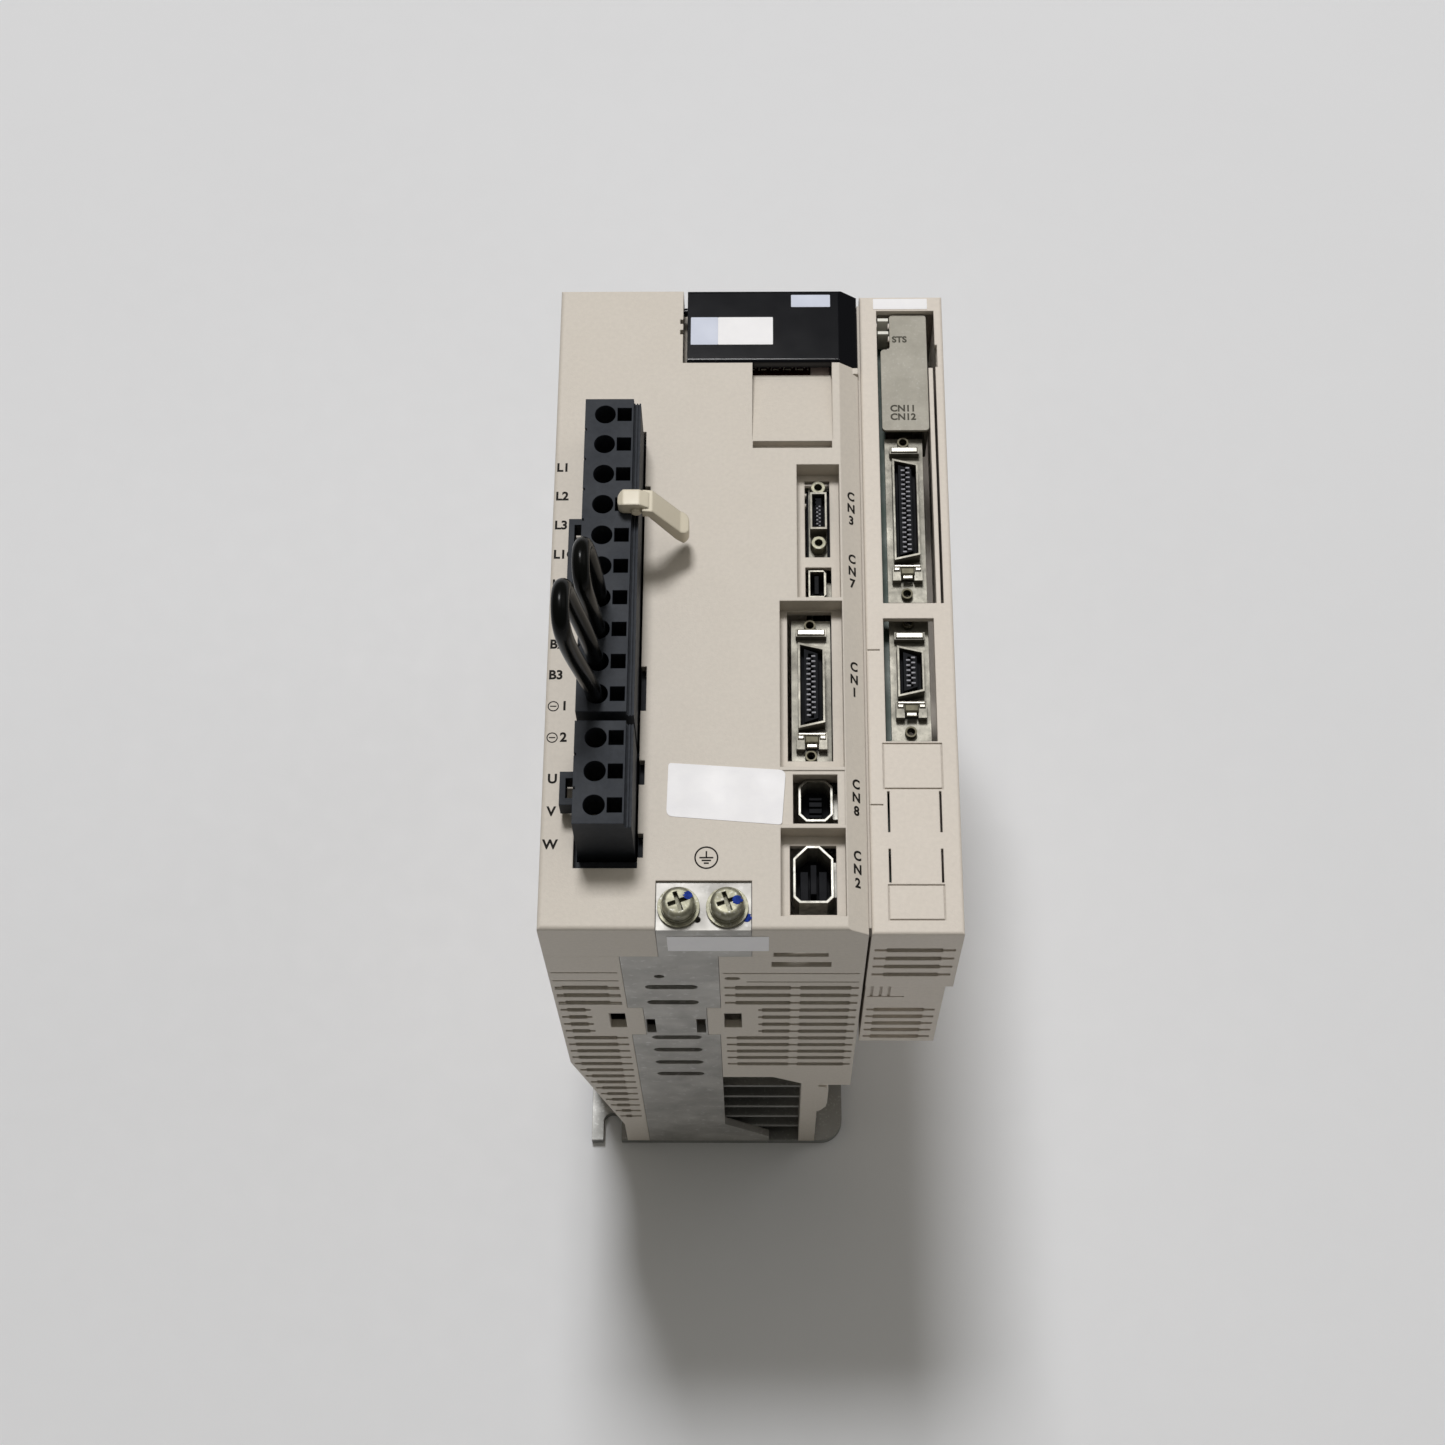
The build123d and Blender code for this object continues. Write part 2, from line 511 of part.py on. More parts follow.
def plug_housing(y0, y1, rows, latch_y0, latch_y1):
    """A pluggable terminal housing with wire funnels, release slots and a latch loop."""
    block(*PLUG_X, y0, y1, PLUG_BOTTOM, PLUG_TOP)
    block(PLUG_X[1], PLUG_STEP_X, y0, y1, PLUG_BOTTOM, PLUG_STEP_TOP)
    for y in rows:
        rod_z(WIRE_X, y, CLAMP_Z[0], PLUG_TOP + 1, WIRE_HOLE_R, mode=Mode.SUBTRACT)
        block(RELEASE_X - 1.6, RELEASE_X + 1.6, y - 1.7, y + 1.7, CLAMP_Z[0], PLUG_TOP + 1,
              mode=Mode.SUBTRACT)
        block(*CLAMP_X, y - 2.6, y + 2.6, *CLAMP_Z, mode=Mode.SUBTRACT)
        block(BLADE_X - 1.1, BLADE_X + 1.1, y - 1.1, y + 1.1, PLUG_BOTTOM - 1, CLAMP_Z[0] + 1,
              mode=Mode.SUBTRACT)
    for upper, lower in zip(rows, rows[1:]):
        y = (upper + lower) / 2
        block(PLUG_X[0] - 0.1, PLUG_X[0] + 0.5, y - 0.3, y + 0.3, 178, PLUG_TOP + 1, mode=Mode.SUBTRACT)
    # two grooves along the stepped right-hand edge
    for x in (PLUG_X[1] + 0.25, PLUG_X[1] + 0.85):
        block(x, x + 0.3, y0 - 0.1, y1 + 0.1, PLUG_STEP_TOP - 0.5, PLUG_TOP, mode=Mode.SUBTRACT)
    block(PLUG_X[0] - 3.7, PLUG_X[0], latch_y0, latch_y1, 182.0, 187.0)
    block(PLUG_X[0] - 2.4, PLUG_X[0], latch_y0 + 1.5, latch_y1 - 1.5, 181.0, 188.0, mode=Mode.SUBTRACT)


def clamp_springs(rows):
    """One bent clamping cage for each pole."""
    for y in rows:
        block(CLAMP_X[0] + 0.4, CLAMP_X[1] - 0.4, y - 2.2, y + 2.2, CLAMP_Z[0] + 0.3, CLAMP_Z[1] - 0.3)
        block(CLAMP_X[0] + 1.2, CLAMP_X[1] - 1.2, y - 3, y + 3, CLAMP_Z[0] + 1.1, CLAMP_Z[1] - 1.1,
              mode=Mode.SUBTRACT)
        block(BLADE_X - 0.6, BLADE_X + 0.6, y - 1.0, y + 1.0, CLAMP_Z[0], CLAMP_Z[0] + 1.2,
              mode=Mode.SUBTRACT)


def header_housing(y0, y1, in0, in1, rows):
    """A board header: a base with blade slots, and a shroud round the foot of the plug."""
    block(POWER_BOARD_X[1], -12.9, y0, y1, *HEADER_BASE_Z)
    block(-29.2, -12.9, y0, y1, HEADER_BASE_Z[1], SHROUD_TOP)
    block(-27.2, -14.2, in0, in1, HEADER_BASE_Z[1], SHROUD_TOP + 1, mode=Mode.SUBTRACT)
    for y in rows:
        half = BLADE_W / 2
        block(BLADE_X - half, BLADE_X + half, y - half, y + half, 155, 163, mode=Mode.SUBTRACT)


def header_blades(rows):
    """One square blade for each pole."""
    half = BLADE_W / 2
    for y in rows:
        block(BLADE_X - half, BLADE_X + half, y - half, y + half, 155, 177)


with BuildPart() as power_plug:
    plug_housing(*POWER_PLUG_Y, POWER_ROWS, -4.5, 14.3)
save(power_plug, "power_plug")
with BuildPart() as power_plug_clamps:
    clamp_springs(POWER_ROWS)
save(power_plug_clamps, "power_plug_clamps")
with BuildPart() as power_header:
    header_housing(-38.9, 41.2, -38.2, 39.5, POWER_ROWS)
save(power_header, "power_header")
with BuildPart() as power_blades:
    header_blades(POWER_ROWS)
save(power_blades, "power_blades")

with BuildPart() as motor_plug:
    plug_housing(*MOTOR_PLUG_Y, MOTOR_ROWS, -54.6, -47.0)
save(motor_plug, "motor_plug")
with BuildPart() as motor_plug_clamps:
    clamp_springs(MOTOR_ROWS)
save(motor_plug_clamps, "motor_plug_clamps")
with BuildPart() as motor_header:
    header_housing(-65.3, -39.0, -63.6, -39.3, MOTOR_ROWS)
save(motor_header, "motor_header")
with BuildPart() as motor_blades:
    header_blades(MOTOR_ROWS)
save(motor_blades, "motor_blades")


# ---- wire jumpers: stiff bent links of insulated wire between neighbouring poles -------------
WIRE_R = 1.85
LEG_FOOT_Z = 188.0


def jumper_route(y_high, y_low, points):
    """A route from the foot in the upper pole to the foot in the lower pole."""
    return [(WIRE_X, y_high, LEG_FOOT_Z), *points, (WIRE_X, y_low, LEG_FOOT_Z)]


def corner_radii(route):
    """The arc of each corner: 0.45 of its shorter run over the tangent of half its turn."""
    spots = [Vector(*p) for p in route]
    radii = []
    for before, here, after in zip(spots, spots[1:], spots[2:]):
        shorter = min((here - before).length, (after - here).length)
        half_turn = radians((here - before).get_angle(after - here)) / 2
        radii.append(0.45 * shorter / tan(half_turn))
    return radii


JUMPERS = {
    "jumper_a": jumper_route(POWER_ROWS[6], POWER_ROWS[7], [
        (-22.6, -10.4, 201.5),
        (-23.5, -9.9, 212.8),
        (-24.3, -9.8, 220.1),
        (-24.7, -12.6, 222.9),
        (-24.7, -16.5, 223.0),
        (-24.4, -19.3, 220.2),
        (-23.7, -19.4, 212.6),
        (-22.7, -18.7, 201.0),
    ]),
    "jumper_b": jumper_route(POWER_ROWS[8], POWER_ROWS[9], [
        (-22.9, -25.6, 201.5),
        (-24.9, -25.0, 213.5),
        (-26.6, -24.8, 223.5),
        (-27.3, -25.0, 230.8),
        (-27.6, -27.8, 233.5),
        (-27.6, -31.8, 233.6),
        (-27.4, -34.6, 230.8),
        (-26.7, -34.9, 223.2),
        (-25.0, -34.7, 213.0),
        (-22.9, -34.0, 201.0),
    ]),
}
for name, route in JUMPERS.items():
    radii = corner_radii(route)
    with BuildPart() as jumper:
        with BuildLine():
            path = FilletPolyline(*route, radius=radii)
        with BuildSketch(Plane(origin=path @ 0, z_dir=path % 0)) as section:
            Circle(WIRE_R)
        sweep()
    save(jumper, name)
    length = path.length
    print(name, "radii", [round(r, 1) for r in radii], "length", round(length, 2))
    print("  volume", round(jumper.part.volume, 1), "section x length", round(section.sketch.area * length, 1))

# ---- opening lever hooked over the fourth pole -----------------------------------------------
LEVER_MID_Y = 11.6
LEVER_HEAD_Y = (LEVER_MID_Y - 1.9, LEVER_MID_Y + 1.9)
LEVER_PAD_Y = (LEVER_MID_Y - 2.7, LEVER_MID_Y + 2.6)
LEVER_PIVOT = (-14.9, 198.9)
LEVER_PIVOT_R = 1.1
LEVER_UNDER_Z = PLUG_TOP + 0.3
with BuildPart() as opener_lever:
    head = [
        (-19.0, LEVER_UNDER_Z),
        (-19.0, 200.3),
        (-17.8, 201.6),
        (-14.2, 201.6),
        (-12.2, 200.2),
        (-12.2, LEVER_UNDER_Z),
    ]
    prism_xz(head, *LEVER_HEAD_Y)
    fillet(opener_lever.edges().filter_by(Axis.Z).sort_by(Axis.X)[:2], 1.4)
    arm = [
        (-13.6, LEVER_UNDER_Z),
        (-13.6, 200.2),
        (-11.4, 199.9),
        (-5.6, 190.6),
        (-3.7, 189.4),
        (-3.7, 186.2),
        (-5.0, 185.6),
        (-6.6, 187.4),
        (-12.4, LEVER_UNDER_Z),
    ]
    prism_xz(arm, *LEVER_PAD_Y)
    fillet(opener_lever.edges().filter_by(Axis.Z).sort_by(Axis.X)[-2:], 1.6)
    rod_y(LEVER_PIVOT[0], LEVER_PIVOT[1], LEVER_HEAD_Y[0] - 0.6, LEVER_HEAD_Y[1] + 0.6, LEVER_PIVOT_R)
    block(-18.5, -16.9, POWER_ROWS[3] - 1.3, POWER_ROWS[3] + 1.3, 194.0, PLUG_TOP + 0.5)
save(opener_lever, "opener_lever")


# ---- connectors ------------------------------------------------------------------------------
JACK_INSET = 1.7


def ribbon_shell(x, y_top, y_bottom, shell_y, plate_z):
    """The plated shell of a ribbon connector: flange plate, D-shaped collar and two latch brackets."""
    top = plate_z + 1.0
    block(x - 4.4, x + 4.4, y_bottom, y_top, plate_z, top)
    low, high = shell_y
    collar = [(x - 2.95, low), (x + 2.95, low + 1.4), (x + 2.95, high - 1.4), (x - 2.95, high)]
    prism_xy(collar, top, top + 3.6)
    inner = [(x - 2.5, low + 0.6), (x + 2.5, low + 1.8), (x + 2.5, high - 1.8), (x - 2.5, high - 0.6)]
    prism_xy(inner, plate_z - 1, top + 4, mode=Mode.SUBTRACT)
    block(x - 3.4, x + 3.4, high + 2.2, high + 4.0, top, top + 2.0)
    block(x - 3.4, x + 3.4, low - 4.4, low - 0.3, top, top + 2.0)
    block(x - 1.5, x + 1.5, low - 4.5, low - 2.6, top, top + 2.5, mode=Mode.SUBTRACT)
    block(x - 1.5, x + 1.5, low - 1.5, low - 0.2, top + 0.8, top + 2.5, mode=Mode.SUBTRACT)
    for y in (y_top - JACK_INSET, y_bottom + JACK_INSET):
        rod_z(x - 0.2, y, plate_z - 1, top + 1, 0.9, mode=Mode.SUBTRACT)


def ribbon_socket(x, shell_y, plate_z, contacts):
    """The black insulator: a body behind the plate and a slotted tongue inside the collar."""
    low, high = shell_y
    block(x - 3.9, x + 3.9, low - 3, high + 3, plate_z - 5, plate_z)
    core = [(x - 2.4, low + 0.7), (x + 2.4, low + 1.9), (x + 2.4, high - 1.9), (x - 2.4, high - 0.7)]
    prism_xy(core, plate_z, plate_z + 1.2)
    tongue = [(x - 1.6, low + 1.5), (x + 1.4, low + 2.6), (x + 1.4, high - 2.6), (x - 1.6, high - 1.5)]
    prism_xy(tongue, plate_z + 1.2, plate_z + 4.2)
    block(x - 0.7, x + 0.5, low + 2.6, high - 2.6, plate_z + 2.2, plate_z + 5, mode=Mode.SUBTRACT)
    span = high - low - 6.0
    for i in range(contacts):
        y = low + 3.0 + span * (i + 0.5) / contacts
        block(x - 0.7, x + 0.5, y - 0.2, y + 0.2, plate_z + 2.2, plate_z + 3.6)


def octagon(x, y, wide, tall, top_cut, low_cut):
    """An upright rectangle with cut corners, as (x, y) points."""
    left, right, low, high = x - wide / 2, x + wide / 2, y - tall / 2, y + tall / 2
    return [
        (left + low_cut, low),
        (right - low_cut, low),
        (right, low + low_cut),
        (right, high - top_cut),
        (right - top_cut, high),
        (left + top_cut, high),
        (left, high - top_cut),
        (left, low + low_cut),
    ]


BOARD = CONTROL_BOARD_X[0]
CN1_X = 23.4
CN1_Z = 172.2
CN1_PLATE_Y = (-4.4, -39.7)
CN1_SHELL_Y = (-32.3, -11.4)
with BuildPart() as cn1_shell:
    ribbon_shell(CN1_X, *CN1_PLATE_Y, CN1_SHELL_Y, CN1_Z)
save(cn1_shell, "cn1_shell")
with BuildPart() as cn1_socket:
    ribbon_socket(CN1_X, CN1_SHELL_Y, CN1_Z, 13)
    block(CN1_X + 3.9, BOARD, *CN1_SHELL_Y, CN1_Z - 5, CN1_Z - 1)
save(cn1_socket, "cn1_socket")

with BuildPart() as cn8_shell:
    prism_xy(octagon(24.05, -49.0, 7.4, 9.7, 1.6, 1.6), 164.0, 175.6)
    prism_xy(octagon(24.05, -49.0, 6.4, 8.7, 1.3, 1.3), 166.0, 177.0, mode=Mode.SUBTRACT)
    block(27.7, BOARD, -52.0, -46.0, 164.0, 172.0)
save(cn8_shell, "cn8_shell")
with BuildPart() as cn8_socket:
    prism_xy(octagon(24.05, -49.0, 6.2, 8.5, 1.2, 1.2), 166.0, 169.0)
    block(22.7, 25.4, -52.0, -47.4, 169.0, 173.2)
    for y in (-51.2, -49.7, -48.2):
        block(22.5, 25.6, y - 0.25, y + 0.25, 169.6, 173.4, mode=Mode.SUBTRACT)
save(cn8_socket, "cn8_socket")

with BuildPart() as cn2_shell:
    prism_xy(octagon(23.4, -66.0, 8.6, 13.0, 2.9, 1.3), 162.0, 175.6)
    prism_xy(octagon(23.4, -66.0, 7.6, 12.0, 2.6, 1.1), 164.0, 177.0, mode=Mode.SUBTRACT)
    block(27.6, BOARD, -70.0, -62.0, 162.0, 172.0)
save(cn2_shell, "cn2_shell")
with BuildPart() as cn2_socket:
    prism_xy(octagon(23.4, -66.0, 7.4, 11.8, 2.5, 1.0), 164.0, 167.0)
    for x0, x1, y0, y1 in ((20.7, 22.3, -71.4, -64.4), (22.9, 24.1, -69.4, -62.8), (24.7, 26.3, -71.4, -64.4)):
        block(x0, x1, y0, y1, 167.0, 172.6)
save(cn2_socket, "cn2_socket")

CN3_X = 25.4
with BuildPart() as cn3_shell:
    block(CN3_X - 2.2, CN3_X + 2.0, 11.4, 30.4, 171.4, 172.4)
    block(CN3_X - 1.9, CN3_X + 1.9, 17.6, 27.2, 172.4, 176.2)
    block(CN3_X - 1.45, CN3_X + 1.45, 18.1, 26.7, 171.0, 177.0, mode=Mode.SUBTRACT)
    for y in (29.0, 14.6):
        rod_z(CN3_X, y, 171.0, 173.0, 1.0, mode=Mode.SUBTRACT)
save(cn3_shell, "cn3_shell")
with BuildPart() as cn3_socket:
    block(CN3_X - 2.6, BOARD, 12.0, 30.0, 166.0, 171.4)
    block(CN3_X - 1.35, CN3_X + 1.35, 18.2, 26.6, 171.4, 172.8)
    block(CN3_X - 0.7, CN3_X + 0.7, 18.9, 25.9, 172.8, 175.6)
    for i in range(7):
        y = 19.6 + i * 0.95
        block(CN3_X - 0.9, CN3_X - 0.5, y - 0.18, y + 0.18, 173.0, 176, mode=Mode.SUBTRACT)
save(cn3_socket, "cn3_socket")

with BuildPart() as cn7_shell:
    cut_corner = [(23.0, 1.0), (26.4, 1.0), (27.0, 1.8), (27.0, 7.1), (26.4, 7.9), (23.0, 7.9)]
    prism_xy(cut_corner, 165.0, 174.4)
    block(23.4, 26.5, 1.4, 7.5, 167.0, 175.0, mode=Mode.SUBTRACT)
    block(27.0, BOARD, 2.0, 7.0, 165.0, 170.0)
save(cn7_shell, "cn7_shell")
with BuildPart() as cn7_tongue:
    block(23.5, 26.4, 1.5, 7.4, 167.0, 168.5)
    block(24.4, 25.3, 2.2, 6.7, 168.5, 173.8)
save(cn7_tongue, "cn7_tongue")



def jack_pair(x, y_top, y_bottom, z):
    """Two threaded rings standing on a connector plate, one near each end."""
    for y in (y_top - JACK_INSET, y_bottom + JACK_INSET):
        rod_z(x, y, z, z + 1.4, 1.3)
        rod_z(x, y, z - 1, z + 2, 0.9, mode=Mode.SUBTRACT)


with BuildPart() as jack_screws:
    jack_pair(CN1_X - 0.2, *CN1_PLATE_Y, CN1_Z + 1.0)
    jack_pair(CN3_X, 30.7, 12.9, 172.4)
save(jack_screws, "jack_screws")

# ---- boards and power parts inside the case --------------------------------------------------
with BuildPart() as control_board:
    block(*CONTROL_BOARD_X, -76, 74, 66, 168)
save(control_board, "control_board")

with BuildPart() as control_chips:
    for y0, y1, z0, z1, thick in (
        (-12, 8, 128, 148, 1.6),
        (-46, -34, 120, 136, 1.4),
        (20, 34, 120, 140, 1.4),
        (-20, 0, 84, 98, 2.6),
        (24, 46, 84, 100, 4.0),
        (-62, -50, 90, 104, 2.2),
    ):
        block(BOARD - thick, BOARD, y0, y1, z0, z1)
save(control_chips, "control_chips")

with BuildPart() as power_board:
    block(*POWER_BOARD_X, -74, 74, 88, 166)
save(power_board, "power_board")

CAP_Z = 112.0
with BuildPart() as bus_capacitors:
    for y in (-44.0, -16.0, 12.0):
        rod_x(y, CAP_Z, POWER_BOARD_X[1], 5.0, 12.5)
save(bus_capacitors, "bus_capacitors")

with BuildPart() as line_choke:
    with Locations(Location((POWER_BOARD_X[1] + 4.2, 46.0, 132.0), (0, 90, 0))):
        Torus(9.0, 4.0)
save(line_choke, "line_choke")

with BuildPart() as charge_relay:
    block(POWER_BOARD_X[1], -14.0, 38.0, 58.0, 94.0, 108.0)
save(charge_relay, "charge_relay")

with BuildPart() as power_module:
    block(-18.5, SINK_WALL_X[0], -32, 32, 10, 54)
    chamfer(power_module.faces().sort_by(Axis.X)[0].edges(), 0.8)
save(power_module, "power_module")

# ---- fan at the top end of the duct ----------------------------------------------------------
FAN_Y = (FAN_FRONT_Y, Y_END - WALL)
with BuildPart() as fan_frame:
    half = FAN_SIDE / 2
    block(FAN_X - half, FAN_X + half, *FAN_Y, FAN_Z - half, FAN_Z + half)
    fillet(fan_frame.edges().filter_by(Axis.Y), 2.0)
    rod_y(FAN_X, FAN_Z, FAN_Y[0] - 1, FAN_Y[1] + 1, FAN_BORE_R, mode=Mode.SUBTRACT)
    rod_y(FAN_X, FAN_Z, FAN_Y[0], FAN_Y[0] + 2.2, FAN_HUB_R)
    for turn in (0, 90):
        with Locations(Location((FAN_X, FAN_Y[0] + 0.8, FAN_Z), (0, turn, 0))):
            Box(2 * FAN_BORE_R + 0.6, 1.6, 1.6)
    rod_y(FAN_X, FAN_Z, FAN_Y[0] + 0.6, FAN_Y[0] + 3, SHAFT_R + RUNNING_GAP, mode=Mode.SUBTRACT)
    for dx in (-1, 1):
        for dz in (-1, 1):
            rod_y(FAN_X + 12.2 * dx, FAN_Z + 12.2 * dz, FAN_Y[0] - 1, FAN_Y[1] + 1, 1.4,
                  mode=Mode.SUBTRACT)
save(fan_frame, "fan_frame")

BLADE_COUNT = 7
BLADE_TIP_R = 13.2
BLADE_TILT = 38
HUB_Y = (FAN_Y[0] + 2.8, FAN_Y[1] - 0.8)
with BuildPart() as fan_rotor:
    rod_y(FAN_X, FAN_Z, *HUB_Y, 6.5)
    rod_y(FAN_X, FAN_Z, FAN_Y[0] + 0.8, HUB_Y[0], SHAFT_R)
    hub_mid = (HUB_Y[0] + HUB_Y[1]) / 2
    reach = (6.0 + BLADE_TIP_R) / 2
    for i in range(BLADE_COUNT):
        turn = radians(i * 360 / BLADE_COUNT)
        spot = Vector(FAN_X + reach * cos(turn), hub_mid, FAN_Z + reach * sin(turn))
        outward = Vector(cos(turn), 0, sin(turn))
        blade_plane = Plane(origin=spot, x_dir=outward, z_dir=(0, 1, 0))
        with Locations(Location(blade_plane) * Location((0, 0, 0), (BLADE_TILT, 0, 0))):
            Box(BLADE_TIP_R - 6.0, 0.9, 7.0)
save(fan_rotor, "fan_rotor")

# ---- option module ---------------------------------------------------------------------------
with BuildPart() as option_front_case:
    block(*OPT_X, -Y_END, Y_END, OPT_SEAM_Z, OPT_FRONT_Z)
    fillet(option_front_case.faces().sort_by(Axis.Z)[-1].edges(), 0.7)
    block(OPT_X[0] + OPT_WALL, OPT_X[1] - OPT_WALL, -Y_END + OPT_WALL, Y_END - OPT_WALL, OPT_SEAM_Z - 1,
          OPT_FRONT_Z - OPT_WALL, mode=Mode.SUBTRACT)
    block(39.6, 53.2, -1.8, 75.9, 174, 178, mode=Mode.SUBTRACT)
    block(53.1, 53.7, 60.3, 66.4, 175, 178, mode=Mode.SUBTRACT)
    block(51.6, 52.6, -2.8, 60.3, 172.5, OPT_FRONT_Z - 0.4)
    block(39.5, 50.8, -35.6, -5.6, 174, 178, mode=Mode.SUBTRACT)
    # blank knock-out panel: fine grooves and two pairs of side slits
    groove_z = OPT_FRONT_Z - 0.35
    for x0, x1, y0, y1 in ((38.7, 51.7, -36.3, -36.0), (38.7, 39.0, -46.7, -36.0), (51.4, 51.7, -46.7, -36.0),
                           (38.7, 51.7, -46.9, -46.6), (39.2, 51.3, -69.1, -68.8), (39.2, 39.5, -76.8, -68.8),
                           (51.0, 51.3, -76.8, -68.8), (39.2, 51.3, -76.9, -76.6),
                           (OPT_X[0] - 0.1, 38.6, -13.6, -13.3), (OPT_X[0] - 0.1, 38.6, -50.7, -50.4)):
        block(x0, x1, y0, y1, groove_z, 178, mode=Mode.SUBTRACT)
    for y0, y1 in ((-56.9, -47.4), (-68.4, -60.7)):
        for x in (39.5, 50.7):
            block(x, x + 0.5, y0, y1, 175, 178, mode=Mode.SUBTRACT)
    # louvres of the lower and upper faces
    for i in range(4):
        z = 166.6 - i * 5.5
        for y0, y1 in (LOW_WALL, HIGH_WALL):
            block(39.2, 51.3, y0, y1, z - 1.3, z + 1.3, mode=Mode.SUBTRACT)
        run_out(36.6, 54.0, -Y_END, z)
save(option_front_case, "option_front_case")

with BuildPart() as option_rear_case:
    block(*OPT_REAR_X, -OPT_REAR_Y, OPT_REAR_Y, OPT_BACK_Z, OPT_SEAM_Z)
    block(OPT_REAR_X[0] + OPT_WALL, OPT_REAR_X[1] - OPT_WALL, -OPT_REAR_Y + OPT_WALL, OPT_REAR_Y - OPT_WALL,
          OPT_BACK_Z + OPT_WALL, OPT_SEAM_Z + 1, mode=Mode.SUBTRACT)
    for y0, y1 in (LOW_WALL, HIGH_WALL):
        for i in range(5):
            z = 122.0 - i * 5.3
            block(38.3, 49.9, y0, y1, z - 1.4, z + 1.4, mode=Mode.SUBTRACT)
            if y0 == LOW_WALL[0]:
                run_out(36.6, 52.4, -OPT_REAR_Y, z)
    for x in (37.3, 39.3, 41.2):
        block(x - 0.3, x + 0.3, -OPT_REAR_Y - 1, -OPT_REAR_Y + 0.5, 132.0, 141.0, mode=Mode.SUBTRACT)
    block(36.4, 44.8, -OPT_REAR_Y - 1, -OPT_REAR_Y + 0.5, 131.6, 132.2, mode=Mode.SUBTRACT)
    block(OPT_REAR_X[0] - 1, OPT_REAR_X[0] + OPT_WALL + 0.1, -22, 22, 108, 120, mode=Mode.SUBTRACT)
    # hooks that catch behind the drive's side wall
    for y in (-60, 60):
        block(31.9, OPT_REAR_X[0], y - 2, y + 2, 128.0, 131.5)
        block(31.7, 32.8, y - 2, y + 2, 131.5, 136.5)
save(option_rear_case, "option_rear_case")

with BuildPart() as option_board:
    block(*OPT_BOARD_X, -76, 76, 102, 170)
save(option_board, "option_board")

with BuildPart() as link_connector:
    block(CONTROL_BOARD_X[1], OPT_BOARD_X[0], -19, 19, 110, 118)
save(link_connector, "link_connector")

PLATE_Z = (174.9, 175.7)
with BuildPart() as option_bracket:
    plate = [(40.5, 43.9), (51.4, 43.9), (51.4, 75.6), (42.7, 75.6), (42.7, 66.0), (40.5, 66.0)]
    prism_xy(plate, *PLATE_Z)
    fillet(option_bracket.edges().filter_by(Axis.Z), 0.9)
    block(50.6, 51.4, 46.0, 73.0, 160.0, PLATE_Z[0])
    block(OPT_BOARD_X[1], 51.4, 58.0, 66.0, 160.0, 160.8)
save(option_bracket, "option_bracket")

with BuildPart() as status_bars:
    for y in (73.7, 70.1):
        block(39.9, 42.4, y - 0.4, y + 0.4, 170.0, 176.6)
save(status_bars, "status_bars")

RIBBON_X = 45.5
OPT_PLATE_Z = 171.0
CN11_PLATE_Y = (43.7, 0.8)
CN12_PLATE_Y = (-3.1, -33.4)
CN11_SHELL_Y = (9.9, 36.4)
CN12_SHELL_Y = (-24.2, -11.6)
with BuildPart() as cn11_shell:
    ribbon_shell(RIBBON_X, *CN11_PLATE_Y, CN11_SHELL_Y, OPT_PLATE_Z)
save(cn11_shell, "cn11_shell")
with BuildPart() as cn11_socket:
    ribbon_socket(RIBBON_X, CN11_SHELL_Y, OPT_PLATE_Z, 18)
save(cn11_socket, "cn11_socket")
with BuildPart() as cn12_shell:
    ribbon_shell(RIBBON_X, *CN12_PLATE_Y, CN12_SHELL_Y, OPT_PLATE_Z)
save(cn12_shell, "cn12_shell")
with BuildPart() as cn12_socket:
    ribbon_socket(RIBBON_X, CN12_SHELL_Y, OPT_PLATE_Z, 10)
save(cn12_socket, "cn12_socket")
with BuildPart() as option_jacks:
    for plate_y in (CN11_PLATE_Y, CN12_PLATE_Y):
        jack_pair(RIBBON_X - 0.2, *plate_y, OPT_PLATE_Z + 1.0)
save(option_jacks, "option_jacks")
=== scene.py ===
"""Looks for the servo drive: materials, printing, labels, connector detail, jumpers, light and camera."""

import json
import math

import bmesh
import bpy
from mathutils import Matrix, Vector


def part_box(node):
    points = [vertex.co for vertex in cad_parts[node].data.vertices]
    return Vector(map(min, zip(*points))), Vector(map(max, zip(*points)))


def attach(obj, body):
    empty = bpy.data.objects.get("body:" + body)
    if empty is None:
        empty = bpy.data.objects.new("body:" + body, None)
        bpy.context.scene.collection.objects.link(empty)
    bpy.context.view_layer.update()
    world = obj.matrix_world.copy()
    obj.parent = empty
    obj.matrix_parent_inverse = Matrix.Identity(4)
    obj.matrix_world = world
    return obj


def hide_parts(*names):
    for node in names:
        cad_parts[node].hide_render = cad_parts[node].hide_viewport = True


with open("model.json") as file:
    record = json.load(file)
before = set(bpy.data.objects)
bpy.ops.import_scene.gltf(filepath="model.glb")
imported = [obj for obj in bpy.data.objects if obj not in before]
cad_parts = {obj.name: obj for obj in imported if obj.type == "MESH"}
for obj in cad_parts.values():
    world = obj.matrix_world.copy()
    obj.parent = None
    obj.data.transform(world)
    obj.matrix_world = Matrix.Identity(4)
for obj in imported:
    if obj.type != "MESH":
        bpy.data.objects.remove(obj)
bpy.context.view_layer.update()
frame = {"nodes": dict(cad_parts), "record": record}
nodes = frame["nodes"]

# ---------------------------------------------------------------- heights and places shared by the pieces
PANEL_Z = 0.180
COVER_TOP_Z = 0.1801
OPTION_PANEL_Z = 0.1770
BRACKET_Z = 0.1757
CHAMFER_START_X, CHAMFER_END_X = 0.0305, 0.035
CHAMFER_LOW_Z = 0.1765
INK_LIFT = 0.00003
INK_DEPTH = 0.00003
STROKE_SHARE = 0.034


